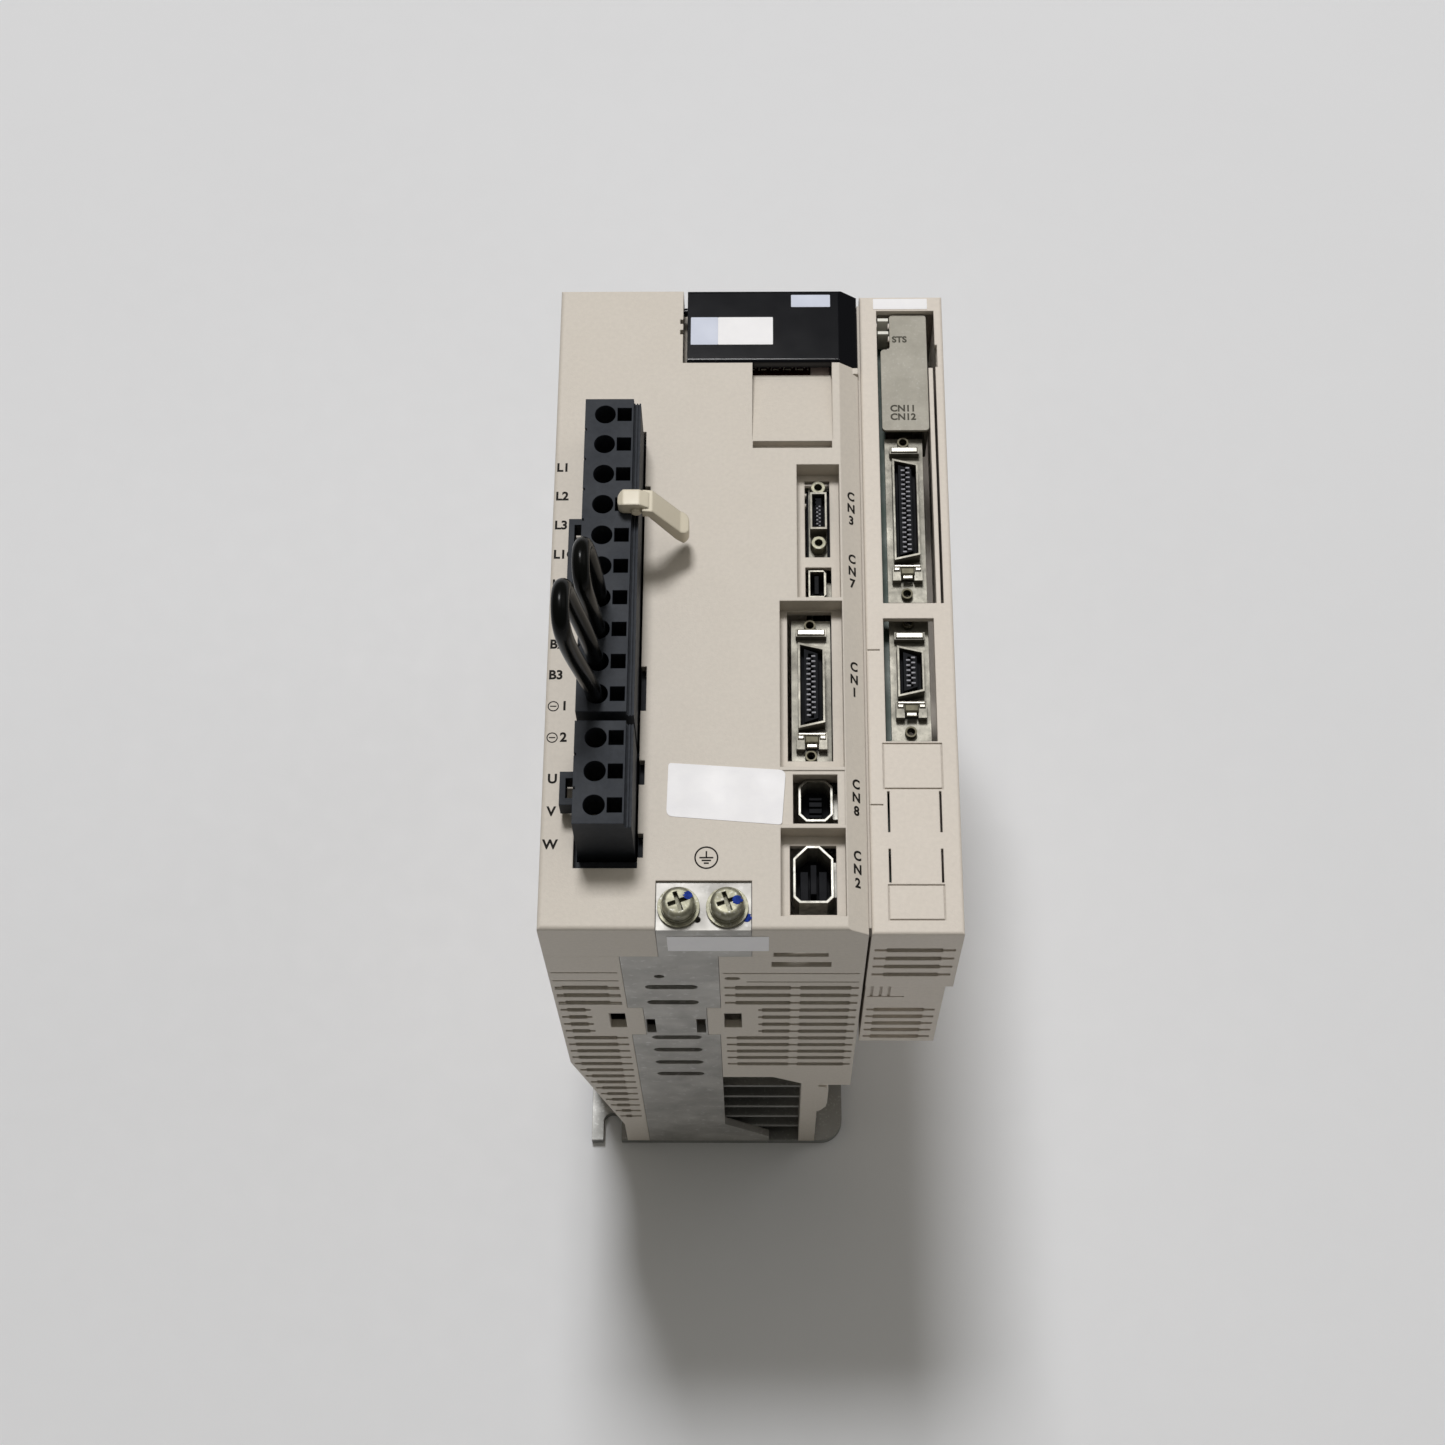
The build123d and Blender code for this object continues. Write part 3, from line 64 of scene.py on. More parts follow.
# ================================================================ materials
CORNER_SAMPLES = 4
EDGE_COSINES = (0.995, 0.80)
NOISE_MIDDLE = (0.3, 0.7)
FLECK_SPAN = (0.58, 0.74)
BRIGHT_FLECK, DARK_FLECK = 0.9, 0.02
STREAK_SPAN, STREAK_SHADE = (0.4, 0.68), 0.5
# Painted shade: how far and how strongly ambient occlusion darkens corners and crevices, standing in for
# shade.
PAINTED_SHADE_SPAN, PAINTED_SHADE_REACH, PAINTED_SHADE_DARKNESS = (0.75, 0.2), 0.004, 0.3
WEAR_SCALE, WEAR_SPAN, WEAR_RANGE = 900, (0.35, 0.6), (0.2, 1.0)
ROUGHNESS_SCALE = 140
RELIEF_STRENGTH = 0.6
COAT_ROUGHNESS = 0.06


def new_material(name):
    """An empty node material, with its nodes, its links and its Principled shader."""
    material = bpy.data.materials.new(name)
    material.use_nodes = True
    tree = material.node_tree
    return material, tree.nodes, tree.links, tree.nodes["Principled BSDF"]


def grey(value):
    """A grey colour from one number."""
    return (value, value, value, 1.0)


def rgb(red, green, blue):
    """A linear colour from the 0 to 255 values of a screen."""
    def linear(channel):
        share = channel / 255
        return share / 12.92 if share <= 0.04045 else ((share + 0.055) / 1.055) ** 2.4
    return (linear(red), linear(green), linear(blue), 1.0)


def scaled(colour, share):
    """The colour made lighter or darker by a share."""
    return tuple(min(1.0, channel * share) for channel in colour[:3]) + (1.0,)


def noise_node(tree_nodes, links, coordinates, scale, detail, distortion=0.0):
    """Noise in the object's own space, in features of one over scale metres."""
    noise = tree_nodes.new("ShaderNodeTexNoise")
    noise.inputs["Scale"].default_value = scale
    noise.inputs["Detail"].default_value = detail
    noise.inputs["Distortion"].default_value = distortion
    links.new(coordinates, noise.inputs["Vector"])
    return noise.outputs["Fac"]


def mapped(tree_nodes, links, value, span, result=(0.0, 1.0)):
    """A value moved from one range to another, and held inside it."""
    ramp = tree_nodes.new("ShaderNodeMapRange")
    ramp.inputs["From Min"].default_value, ramp.inputs["From Max"].default_value = span
    ramp.inputs["To Min"].default_value, ramp.inputs["To Max"].default_value = result
    links.new(value, ramp.inputs["Value"])
    return ramp.outputs["Result"]


def mixed(tree_nodes, links, share, first, second):
    """A colour mix of two colours or sockets by a share socket."""
    mix = tree_nodes.new("ShaderNodeMix")
    mix.data_type = "RGBA"
    links.new(share, mix.inputs["Factor"])
    for socket, colour in ((mix.inputs[6], first), (mix.inputs[7], second)):
        if isinstance(colour, tuple):
            socket.default_value = colour
        else:
            links.new(colour, socket)
    return mix.outputs[2]


def edge_share(tree_nodes, links, radius):
    """How near a sharp edge a point is, from 0 on a face to 1 on the edge, and the rounded normal."""
    bevel = tree_nodes.new("ShaderNodeBevel")
    bevel.samples = CORNER_SAMPLES
    bevel.inputs["Radius"].default_value = radius
    geometry = tree_nodes.new("ShaderNodeNewGeometry")
    dot = tree_nodes.new("ShaderNodeVectorMath")
    dot.operation = "DOT_PRODUCT"
    links.new(bevel.outputs["Normal"], dot.inputs[0])
    links.new(geometry.outputs["Normal"], dot.inputs[1])
    return mapped(tree_nodes, links, dot.outputs["Value"], EDGE_COSINES), bevel.outputs["Normal"]


def surface(name, colour, rough, metallic=0.0, blotch=(60, 0.06), grain=(2500, 0.00002), rough_spread=0.08,
            edge=(0.0002, 1.15), painted_shade=0.0, coat=0.0, specular=0.5, streak=None, speck=None):
    """One detailed surface: uneven colour, grain, worn edges, painted shade in corners, and streaks or flecks.

    blotch is (scale, strength) of the uneven colour, grain is (scale, depth) of the relief, edge is
    (radius, brightness) of the worn edges, streak is (scale, strength, stretch) of brush lines and speck is
    (scale, strength) of small flecks, which are dark where the strength is below zero."""
    material, tree_nodes, links, shader = new_material(name)
    coordinates = tree_nodes.new("ShaderNodeTexCoord").outputs["Object"]
    blotches = noise_node(tree_nodes, links, coordinates, blotch[0], detail=5, distortion=0.4)
    share = mapped(tree_nodes, links, blotches, NOISE_MIDDLE)
    colours = mixed(tree_nodes, links, share, scaled(colour, 1 - blotch[1]), scaled(colour, 1 + blotch[1]))
    height = noise_node(tree_nodes, links, coordinates, grain[0], detail=3)
    if speck:
        flecks = noise_node(tree_nodes, links, coordinates, speck[0], detail=2)
        fleck_share = mapped(tree_nodes, links, flecks, FLECK_SPAN, (0.0, abs(speck[1])))
        fleck = grey(BRIGHT_FLECK if speck[1] > 0 else DARK_FLECK)
        colours = mixed(tree_nodes, links, fleck_share, colours, fleck)
    if streak:
        mapping = tree_nodes.new("ShaderNodeMapping")
        mapping.inputs["Scale"].default_value = streak[2]
        links.new(coordinates, mapping.inputs["Vector"])
        lines = noise_node(tree_nodes, links, mapping.outputs["Vector"], streak[0], detail=4)
        line_share = mapped(tree_nodes, links, lines, STREAK_SPAN, (0.0, streak[1]))
        colours = mixed(tree_nodes, links, line_share, colours, scaled(colour, STREAK_SHADE))
    # Painted shade: the colour is darkened in corners and crevices found by ambient occlusion.
    if painted_shade:
        hollow = tree_nodes.new("ShaderNodeAmbientOcclusion")
        hollow.samples = CORNER_SAMPLES
        hollow.inputs["Distance"].default_value = PAINTED_SHADE_REACH
        painted_shade_share = mapped(tree_nodes, links, hollow.outputs["AO"], PAINTED_SHADE_SPAN, (0.0, painted_shade))
        colours = mixed(tree_nodes, links, painted_shade_share, colours, scaled(colour, PAINTED_SHADE_DARKNESS))
    normal = None
    if edge:
        worn, normal = edge_share(tree_nodes, links, edge[0])
        wear_noise = noise_node(tree_nodes, links, coordinates, WEAR_SCALE, detail=3)
        wear = tree_nodes.new("ShaderNodeMath")
        wear.operation = "MULTIPLY"
        links.new(worn, wear.inputs[0])
        links.new(mapped(tree_nodes, links, wear_noise, WEAR_SPAN, WEAR_RANGE), wear.inputs[1])
        colours = mixed(tree_nodes, links, wear.outputs["Value"], colours, scaled(colour, edge[1]))
    links.new(colours, shader.inputs["Base Color"])
    rough_noise = noise_node(tree_nodes, links, coordinates, ROUGHNESS_SCALE, detail=4)
    rough_range = (rough - rough_spread, rough + rough_spread)
    roughness = mapped(tree_nodes, links, rough_noise, NOISE_MIDDLE, rough_range)
    links.new(roughness, shader.inputs["Roughness"])
    bump = tree_nodes.new("ShaderNodeBump")
    bump.inputs["Strength"].default_value = RELIEF_STRENGTH
    bump.inputs["Distance"].default_value = grain[1]
    links.new(height, bump.inputs["Height"])
    if normal is not None:
        links.new(normal, bump.inputs["Normal"])
    links.new(bump.outputs["Normal"], shader.inputs["Normal"])
    shader.inputs["Metallic"].default_value = metallic
    shader.inputs["Coat Weight"].default_value = coat
    shader.inputs["Coat Roughness"].default_value = COAT_ROUGHNESS
    shader.inputs["Specular IOR Level"].default_value = specular
    return material


# The corner and crevice darkening in these looks is painted shade.
SLOT_LOOKS = {
    "case_plastic": dict(
        colour=rgb(219, 211, 200), rough=0.56, rough_spread=0.02, specular=0.35, blotch=(1100, 0.03),
        grain=(2600, 0.00006), edge=(0.0004, 1.12), painted_shade=0.35),
    "option_plastic": dict(
        colour=rgb(227, 218, 207), rough=0.56, rough_spread=0.02, specular=0.35, blotch=(1000, 0.03),
        grain=(2600, 0.00006), edge=(0.0004, 1.12), painted_shade=0.35),
    "casting": dict(
        colour=rgb(150, 150, 148), rough=0.46, metallic=0.85, blotch=(70, 0.14), grain=(1500, 0.00005),
        edge=(0.0003, 1.35), painted_shade=0.5, speck=(1400, 0.25)),
    "arm_metal": dict(
        colour=rgb(186, 184, 180), rough=0.60, metallic=0.75, blotch=(130, 0.16), grain=(1100, 0.00003),
        edge=(0.0002, 1.25), speck=(500, 0.35), streak=(60, 0.25, (1, 5, 1))),
    "steel": dict(
        colour=rgb(168, 165, 156), rough=0.36, metallic=0.9, blotch=(300, 0.10), grain=(2200, 0.00002),
        edge=(0.00012, 1.2), painted_shade=0.5, streak=(500, 0.25, (1, 1, 0.2))),
    "nickel": dict(
        colour=rgb(139, 136, 126), rough=0.48, metallic=0.6, blotch=(500, 0.28), grain=(2600, 0.00003),
        edge=(0.00012, 1.9), painted_shade=0.8, speck=(2600, -0.4), streak=(700, 0.35, (1, 1, 0.3))),
    "key_grey": dict(
        colour=rgb(116, 116, 118), rough=0.5, grain=(3000, 0.00003)),
    "board_green": dict(
        colour=rgb(20, 56, 42), rough=0.50, coat=0.3, blotch=(220, 0.22), grain=(900, 0.00002),
        edge=(0.0001, 1.4), streak=(180, 0.35, (1, 6, 1))),
    "chip_black": dict(
        colour=rgb(30, 30, 32), rough=0.45, blotch=(200, 0.2), grain=(2400, 0.00002), edge=(0.00015, 1.6)),
    "black_plastic": dict(
        colour=rgb(46, 50, 57), rough=0.60, rough_spread=0.04, specular=0.24, blotch=(900, 0.12),
        grain=(2600, 0.00004), edge=(0.00022, 2.0), painted_shade=0.5),
    "wire_black": dict(
        colour=rgb(12, 13, 12), rough=0.22, rough_spread=0.04, specular=0.1, blotch=(160, 0.15),
        grain=(1400, 0.00001), edge=None),
    "ivory_plastic": dict(
        colour=rgb(233, 224, 203), rough=0.42, blotch=(90, 0.03), grain=(2600, 0.00003), edge=(0.0007, 1.06),
        painted_shade=0.25),
    "smoked_cover": dict(
        colour=rgb(14, 15, 20), rough=0.14, rough_spread=0.01, specular=0.17, blotch=(40, 0.06),
        grain=(900, 0.000002), edge=(0.0003, 2.4)),
    "display_red": dict(
        colour=rgb(52, 15, 17), rough=0.22, coat=0.4, blotch=(200, 0.2), grain=(900, 0.00001),
        edge=(0.0001, 1.6)),
    "lens_clear": dict(
        colour=rgb(208, 190, 188), rough=0.15, coat=0.5, blotch=(300, 0.1), grain=(1200, 0.00002),
        edge=(0.0001, 1.2)),
    "socket_black": dict(
        colour=rgb(25, 26, 30), rough=0.68, specular=0.12, blotch=(300, 0.2), grain=(2600, 0.00002),
        edge=(0.0001, 1.8), painted_shade=0.5),
    "capacitor_sleeve": dict(
        colour=rgb(28, 34, 52), rough=0.3, coat=0.3, blotch=(80, 0.1), grain=(900, 0.00001),
        edge=(0.0002, 1.4)),
    "copper_winding": dict(
        colour=rgb(168, 92, 52), rough=0.32, metallic=0.9, blotch=(400, 0.2), grain=(1800, 0.00005),
        edge=(0.0001, 1.2), streak=(900, 0.6, (0.3, 0.3, 3))),
    "fan_black": dict(
        colour=rgb(26, 26, 28), rough=0.5, blotch=(80, 0.15), grain=(2400, 0.00003), edge=(0.0002, 1.7),
        painted_shade=0.3),
    "bracket_grey": dict(
        colour=rgb(169, 165, 154), rough=0.56, metallic=0.1, specular=0.25, blotch=(600, 0.05),
        grain=(2300, 0.00003), edge=(0.00025, 1.25), painted_shade=0.25, speck=(1600, 0.12)),
    "light_bar": dict(
        colour=rgb(226, 224, 214), rough=0.35, blotch=(300, 0.08), grain=(1500, 0.00002), edge=(0.0001, 1.1)),
}
PAPER_LOOK = dict(rough=0.55, blotch=(300, 0.02), grain=(4000, 0.00001), edge=(0.0001, 1.05))
INK_LOOK = dict(rough=0.7, specular=0.1, blotch=(900, 0.25), grain=(4000, 0.000005), edge=None)

materials = {name: surface(name, **look) for name, look in SLOT_LOOKS.items()}
paper = surface("label_paper", rgb(252, 251, 254), **PAPER_LOOK)
paper_tint = surface("label_tint", rgb(213, 219, 236), **PAPER_LOOK)
ink = surface("print_ink", rgb(40, 38, 36), **INK_LOOK)
faint_ink = surface("faint_ink", rgb(88, 86, 78), **INK_LOOK)
marker_ink = surface("marker_ink", rgb(36, 60, 146), rough=0.6, specular=0.05, blotch=(1500, 0.35),
                     grain=(2000, 0.00001), edge=None)
contact_grey = surface("contact_grey", rgb(150, 150, 156), rough=0.62, metallic=0.2, specular=0.2,
                       blotch=(900, 0.25), grain=(2600, 0.00001), edge=(0.00005, 1.2))
# The darkened crevices of these metals are painted shade.
dull_metal = surface("dull_metal", rgb(104, 100, 84), rough=0.55, metallic=0.5, specular=0.3,
                     blotch=(700, 0.25), grain=(2600, 0.00003), edge=(0.00014, 2.6), painted_shade=0.7)
bright_shell = surface("bright_shell", rgb(176, 174, 166), rough=0.46, metallic=0.65, blotch=(700, 0.3),
                       grain=(2600, 0.00003), edge=(0.00014, 1.6), painted_shade=0.9, speck=(2600, -0.3))
screw_metal = surface("screw_metal", rgb(146, 144, 126), rough=0.50, metallic=0.6, specular=0.3,
                      blotch=(650, 0.35), grain=(2200, 0.00003), edge=(0.0002, 1.5), painted_shade=0.7,
                      speck=(1500, 0.35))
floor_grey = surface("floor_grey", rgb(236, 237, 240), rough=0.62, specular=0.25, blotch=(3, 0.02),
                     grain=(500, 0.00002), edge=None)

for row in frame["record"]["subparts"]:
    for member in row.get("nodes") or [row.get("node")]:
        nodes[member].data.materials.clear()
        nodes[member].data.materials.append(materials[row["material_slot"]])
for member, metal in (("jack_screws", dull_metal), ("option_jacks", dull_metal),
                      ("ground_screws", screw_metal), ("ground_washers", screw_metal),
                      ("cn8_shell", bright_shell), ("cn2_shell", bright_shell)):
    nodes[member].data.materials[0] = metal


# ================================================================ mesh pieces
def new_object(name, data):
    """An object in the scene for a mesh, a curve, a light or a camera."""
    thing = bpy.data.objects.new(name, data)
    bpy.context.scene.collection.objects.link(thing)
    return thing


def finish_piece(piece, material, body):
    """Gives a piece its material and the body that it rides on."""
    piece.data.materials.append(material)
    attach(piece, body)
    return piece


def mesh_object(name, build, smooth_angle=None):
    """A new mesh object made by a bmesh function."""
    work = bmesh.new()
    build(work)
    bmesh.ops.recalc_face_normals(work, faces=work.faces)
    mesh = bpy.data.meshes.new(name)
    work.to_mesh(mesh)
    work.free()
    piece = new_object(name, mesh)
    if smooth_angle is not None:
        mesh.shade_smooth()
        mesh.set_sharp_from_angle(angle=math.radians(smooth_angle))
    return piece


def bridge(work, first, second):
    """Faces all the way round between two loops with the same number of vertices."""
    for i in range(len(first)):
        j = (i + 1) % len(first)
        work.faces.new((first[i], first[j], second[j], second[i]))


def add_prism(work, outline, low, high, matrix=None):
    """A closed prism on an outline of (x, y) points, from low to high, moved by a matrix."""
    matrix = matrix or Matrix.Identity(4)
    bottom = [work.verts.new(matrix @ Vector((x, y, low))) for x, y in outline]
    top = [work.verts.new(matrix @ Vector((x, y, high))) for x, y in outline]
    work.faces.new(list(reversed(bottom)))
    work.faces.new(top)
    bridge(work, bottom, top)


def rounded_rectangle(x0, y0, x1, y1, radius, steps=5):
    """The outline of a rectangle with round corners."""
    points = []
    corners = ((x1 - radius, y1 - radius, 0), (x0 + radius, y1 - radius, 90),
               (x0 + radius, y0 + radius, 180), (x1 - radius, y0 + radius, 270))
    for cx, cy, start in corners:
        for step in range(steps + 1):
            angle = math.radians(start + 90 * step / steps)
            points.append((cx + radius * math.cos(angle), cy + radius * math.sin(angle)))
    return points


def circle(cx, cy, radius, steps=28):
    """The outline of a circle."""
    turn = 2 * math.pi / steps
    return [(cx + radius * math.cos(i * turn), cy + radius * math.sin(i * turn)) for i in range(steps)]


def add_box(work, low, high):
    """A box between two corners."""
    outline = [(low[0], low[1]), (high[0], low[1]), (high[0], high[1]), (low[0], high[1])]
    add_prism(work, outline, low[2], high[2])


def add_bevelled_box(work, low, high, bevel):
    """A box between two corners, with its upper edges cut back."""
    x0, y0, z0 = low
    x1, y1, z1 = high
    b = bevel
    rings = (
        [(x0, y0, z0), (x1, y0, z0), (x1, y1, z0), (x0, y1, z0)],
        [(x0, y0, z1 - b), (x1, y0, z1 - b), (x1, y1, z1 - b), (x0, y1, z1 - b)],
        [(x0 + b, y0 + b, z1), (x1 - b, y0 + b, z1), (x1 - b, y1 - b, z1), (x0 + b, y1 - b, z1)],
    )
    loops = [[work.verts.new(p) for p in points] for points in rings]
    work.faces.new(list(reversed(loops[0])))
    work.faces.new(loops[-1])
    for lower, upper in zip(loops, loops[1:]):
        bridge(work, lower, upper)


def add_ring(work, x, y, inner, outer, low, high, steps=32):
    """A closed flat ring standing on low."""
    loops = []
    for radius, z in ((inner, low), (outer, low), (outer, high), (inner, high)):
        loops.append([work.verts.new((px, py, z)) for px, py in circle(x, y, radius, steps)])
    for first, second in zip(loops, loops[1:] + loops[:1]):
        bridge(work, first, second)


def text_piece(name, words, place, size, body, turn=None, spread=1.0, align="CENTER", material=None):
    """Printed characters as a thin mesh, placed by their middle or left end and turned to lie on a face."""
    curve = bpy.data.curves.new(name + "_curve", "FONT")
    curve.body = words
    curve.size = size
    curve.align_x = align
    curve.align_y = "CENTER"
    curve.space_line = spread
    curve.extrude = INK_DEPTH / 2
    curve.offset = size * STROKE_SHARE
    curve.resolution_u = 4
    holder = new_object(name + "_holder", curve)
    bpy.context.view_layer.update()
    graph = bpy.context.evaluated_depsgraph_get()
    mesh = bpy.data.meshes.new_from_object(holder.evaluated_get(graph))
    bpy.data.objects.remove(holder)
    mesh.name = name
    mesh.transform(Matrix.Translation(place) @ (turn or Matrix.Identity(4)))
    mesh.materials.clear()
    return finish_piece(new_object(name, mesh), material or ink, body)


def panel_text(name, words, x, y, size, z=PANEL_Z, body="drive", **options):
    """Characters on a face that points along +Z."""
    return text_piece(name, words, (x, y, z + INK_LIFT), size, body, **options)


# ---------------------------------------------------------------- printing on the panel
LETTER = 0.0030
INK_TOP_Z = PANEL_Z + INK_LIFT + INK_DEPTH
TERMINAL_NAMES = ("L1", "L2", "L3", "L1C", "L2C", "B1", "B2", "B3", "⊖1", "⊖2")
TERMINAL_LEFT_X = -0.0345
TERMINAL_TOP_Y = 0.0315
TERMINAL_PITCH = 0.0075
MINUS_SIGN_X = TERMINAL_LEFT_X + 0.0013
MINUS_DIGIT_X = TERMINAL_LEFT_X + 0.0030
MINUS_RADII = (0.00100, 0.00122)
MINUS_BAR_HALF_LONG, MINUS_BAR_HALF_WIDE = 0.0007, 0.00012
MOTOR_NAME_X = -0.0328
MOTOR_NAME_YS = {"U": -0.0458, "V": -0.0534, "W": -0.0610}
CONNECTOR_NAME_YS = {"3": 0.0216, "7": 0.0055, "1": -0.0214, "8": -0.0495, "2": -0.0660}
CONNECTOR_LETTER_PITCH = 0.0031
EARTH_HALF_LINE = 0.00016
EARTH_STEM_SHARE, EARTH_BAR_SHARES, EARTH_BAR_PITCH_SHARE = 0.62, (0.62, 0.42, 0.22), 0.26


def minus_mark(name, x, y):
    """A ring with a bar in it, the mark of a negative terminal."""
    def build(work):
        add_ring(work, x, y, *MINUS_RADII, PANEL_Z, INK_TOP_Z)
        add_box(work, (x - MINUS_BAR_HALF_LONG, y - MINUS_BAR_HALF_WIDE, PANEL_Z),
                (x + MINUS_BAR_HALF_LONG, y + MINUS_BAR_HALF_WIDE, INK_TOP_Z))
    return finish_piece(mesh_object(name, build), ink, "drive")


def print_terminal_names():
    """Terminal names down the left edge of the panel, one for each pole."""
    for i, words in enumerate(TERMINAL_NAMES):
        y = TERMINAL_TOP_Y - TERMINAL_PITCH * i
        if words[0] == "⊖":
            minus_mark(f"terminal_minus_{words[1]}", MINUS_SIGN_X, y)
            panel_text(f"terminal_{i}", words[1], MINUS_DIGIT_X, y, LETTER, align="LEFT")
        else:
            panel_text(f"terminal_{i}", words, TERMINAL_LEFT_X, y, LETTER, align="LEFT")
    for words, y in MOTOR_NAME_YS.items():
        panel_text(f"terminal_{words}", words, MOTOR_NAME_X, y, LETTER)


def print_connector_names():
    """Stacked characters down the chamfer beside each connector."""
    fall = math.atan2(PANEL_Z - CHAMFER_LOW_Z, CHAMFER_END_X - CHAMFER_START_X)
    turn = Matrix.Rotation(fall, 4, "Y")
    x = (CHAMFER_START_X + CHAMFER_END_X) / 2
    z = (PANEL_Z + CHAMFER_LOW_Z) / 2
    lift = turn.to_3x3() @ Vector((0, 0, INK_LIFT))
    for digit, y in CONNECTOR_NAME_YS.items():
        for step, letter in enumerate(("C", "N", digit)):
            place = Vector((x, y + CONNECTOR_LETTER_PITCH * (1 - step), z)) + lift
            text_piece(f"connector_name_{digit}_{step}", letter, place, LETTER, "drive", turn=turn)


def earth_symbol(x, y, radius):
    """A ring round three bars and a stem, the protective earth mark."""
    line = EARTH_HALF_LINE

    def build(work):
        add_ring(work, x, y, radius - line, radius + line, PANEL_Z, INK_TOP_Z, 48)
        add_box(work, (x - line, y, PANEL_Z), (x + line, y + radius * EARTH_STEM_SHARE, INK_TOP_Z))
        for step, half in enumerate(EARTH_BAR_SHARES):
            bar_y = y - step * radius * EARTH_BAR_PITCH_SHARE
            add_box(work, (x - radius * half, bar_y - line, PANEL_Z),
                    (x + radius * half, bar_y + line, INK_TOP_Z))
    return finish_piece(mesh_object("earth_symbol", build), ink, "drive")


print_terminal_names()
print_connector_names()
earth_symbol(0.0006, -0.0639, 0.0024)
panel_text("bracket_name", "CN11\nCN12", 0.0454, 0.0486, 0.0024, z=BRACKET_Z, spread=0.95,
           material=faint_ink)
panel_text("bracket_status_name", "STS", 0.0450, 0.0687, 0.0023, z=BRACKET_Z, material=faint_ink)


# ---------------------------------------------------------------- stickers and lips
LABEL_THICK = 0.00008
LABEL_SINK = 0.00002
LABEL_CORNER = 0.0002
TEST_LABEL_CORNERS = [(-0.0081, -0.0544), (0.0167, -0.0564), (0.0176, -0.0437), (-0.0078, -0.0420)]
LOW_FACE_Y = -0.0800
BLOCK_LABEL = (-0.0078, 0.1662, 0.0139, 0.1755)
BLOCK_LABEL_CORNER = 0.0003
JOINT_LOW, JOINT_HIGH, JOINT_BEVEL = (0.03502, -0.0782, 0.1700), (0.03578, 0.0782, 0.1757), 0.0001
LIP_PROFILE = [(0.0575, 0.17500), (0.0588, 0.17500), (0.0588, 0.17594), (0.0575, 0.17620)]
LIP_LEFT_X, LIP_RIGHT_X = 0.0104, 0.0287


def label(name, outline, z, material=paper, body="drive"):
    """A thin sticker lying on a face that points along +Z."""
    def build(work):
        add_prism(work, outline, z - LABEL_SINK, z + LABEL_THICK)
    return finish_piece(mesh_object(name, build), material, body)


def round_cornered(corners, radius_share=0.06, steps=4):
    """A four-cornered outline with its corners cut round."""
    points = []
    for i, corner in enumerate(corners):
        before, after = Vector(corners[i - 1]), Vector(corners[(i + 1) % 4])
        here = Vector(corner)
        start = here.lerp(before, radius_share * (after - here).length / (before - here).length)
        end = here.lerp(after, radius_share)
        for step in range(steps + 1):
            t = step / steps
            points.append(tuple(start.lerp(here, t).lerp(here.lerp(end, t), t)))
    return points


def module_joint():
    """The lip that closes the gap between the drive and its option module, just under their front faces."""
    def build(work):
        add_bevelled_box(work, JOINT_LOW, JOINT_HIGH, JOINT_BEVEL)
    return finish_piece(mesh_object("module_joint", build), materials["case_plastic"], "drive")


def window_lip():
    """The lip at the top of the finger ramp, which carries its slope on under the display window."""
    along_x = Matrix(((0, 0, 1, 0), (1, 0, 0, 0), (0, 1, 0, 0), (0, 0, 0, 1)))

    def build(work):
        add_prism(work, LIP_PROFILE, LIP_LEFT_X, LIP_RIGHT_X, along_x)
    return finish_piece(mesh_object("window_lip", build), materials["case_plastic"], "drive")


def block_label():
    """The sticker on the low side of the grounding block."""
    turn = Matrix.Translation((0, LOW_FACE_Y, 0)) @ Matrix.Rotation(math.radians(90), 4, "X")

    def build(work):
        add_prism(work, rounded_rectangle(*BLOCK_LABEL, BLOCK_LABEL_CORNER), -LABEL_SINK, LABEL_THICK, turn)
    return finish_piece(mesh_object("block_label", build), paper, "drive")


label("test_label", round_cornered(TEST_LABEL_CORNERS), PANEL_Z)
label("cover_nameplate_left", rounded_rectangle(-0.0042, 0.0646, 0.0022, 0.0722, LABEL_CORNER),
      COVER_TOP_Z, paper_tint, "display_cover")
label("cover_nameplate", rounded_rectangle(0.0022, 0.0646, 0.0151, 0.0722, LABEL_CORNER),
      COVER_TOP_Z, paper, "display_cover")
label("cover_small_label", rounded_rectangle(0.0194, 0.0750, 0.0286, 0.0784, LABEL_CORNER),
      COVER_TOP_Z, paper_tint, "display_cover")
label("option_label", rounded_rectangle(0.0389, 0.0764, 0.0517, 0.0793, LABEL_CORNER), OPTION_PANEL_Z)
module_joint()
window_lip()
block_label()


# ================================================================ jumpers
WIRE_DIAMETER = 0.0037


def jumper(name, node, route):
    """A short stiff wire bridge between two poles of the power plug."""
    curve = bpy.data.curves.new(name, "CURVE")
    curve.dimensions = "3D"
    curve.bevel_depth = WIRE_DIAMETER / 2
    curve.bevel_resolution = 8
    curve.resolution_u = 16
    curve.use_fill_caps = True
    spline = curve.splines.new("NURBS")
    spline.points.add(len(route) - 1)
    for point, place in zip(spline.points, route):
        point.co = (*place, 1)
    spline.order_u = 3
    spline.use_endpoint_u = True
    piece = finish_piece(new_object(name, curve), materials["wire_black"], "power_plug")
    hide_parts(node)
    return piece


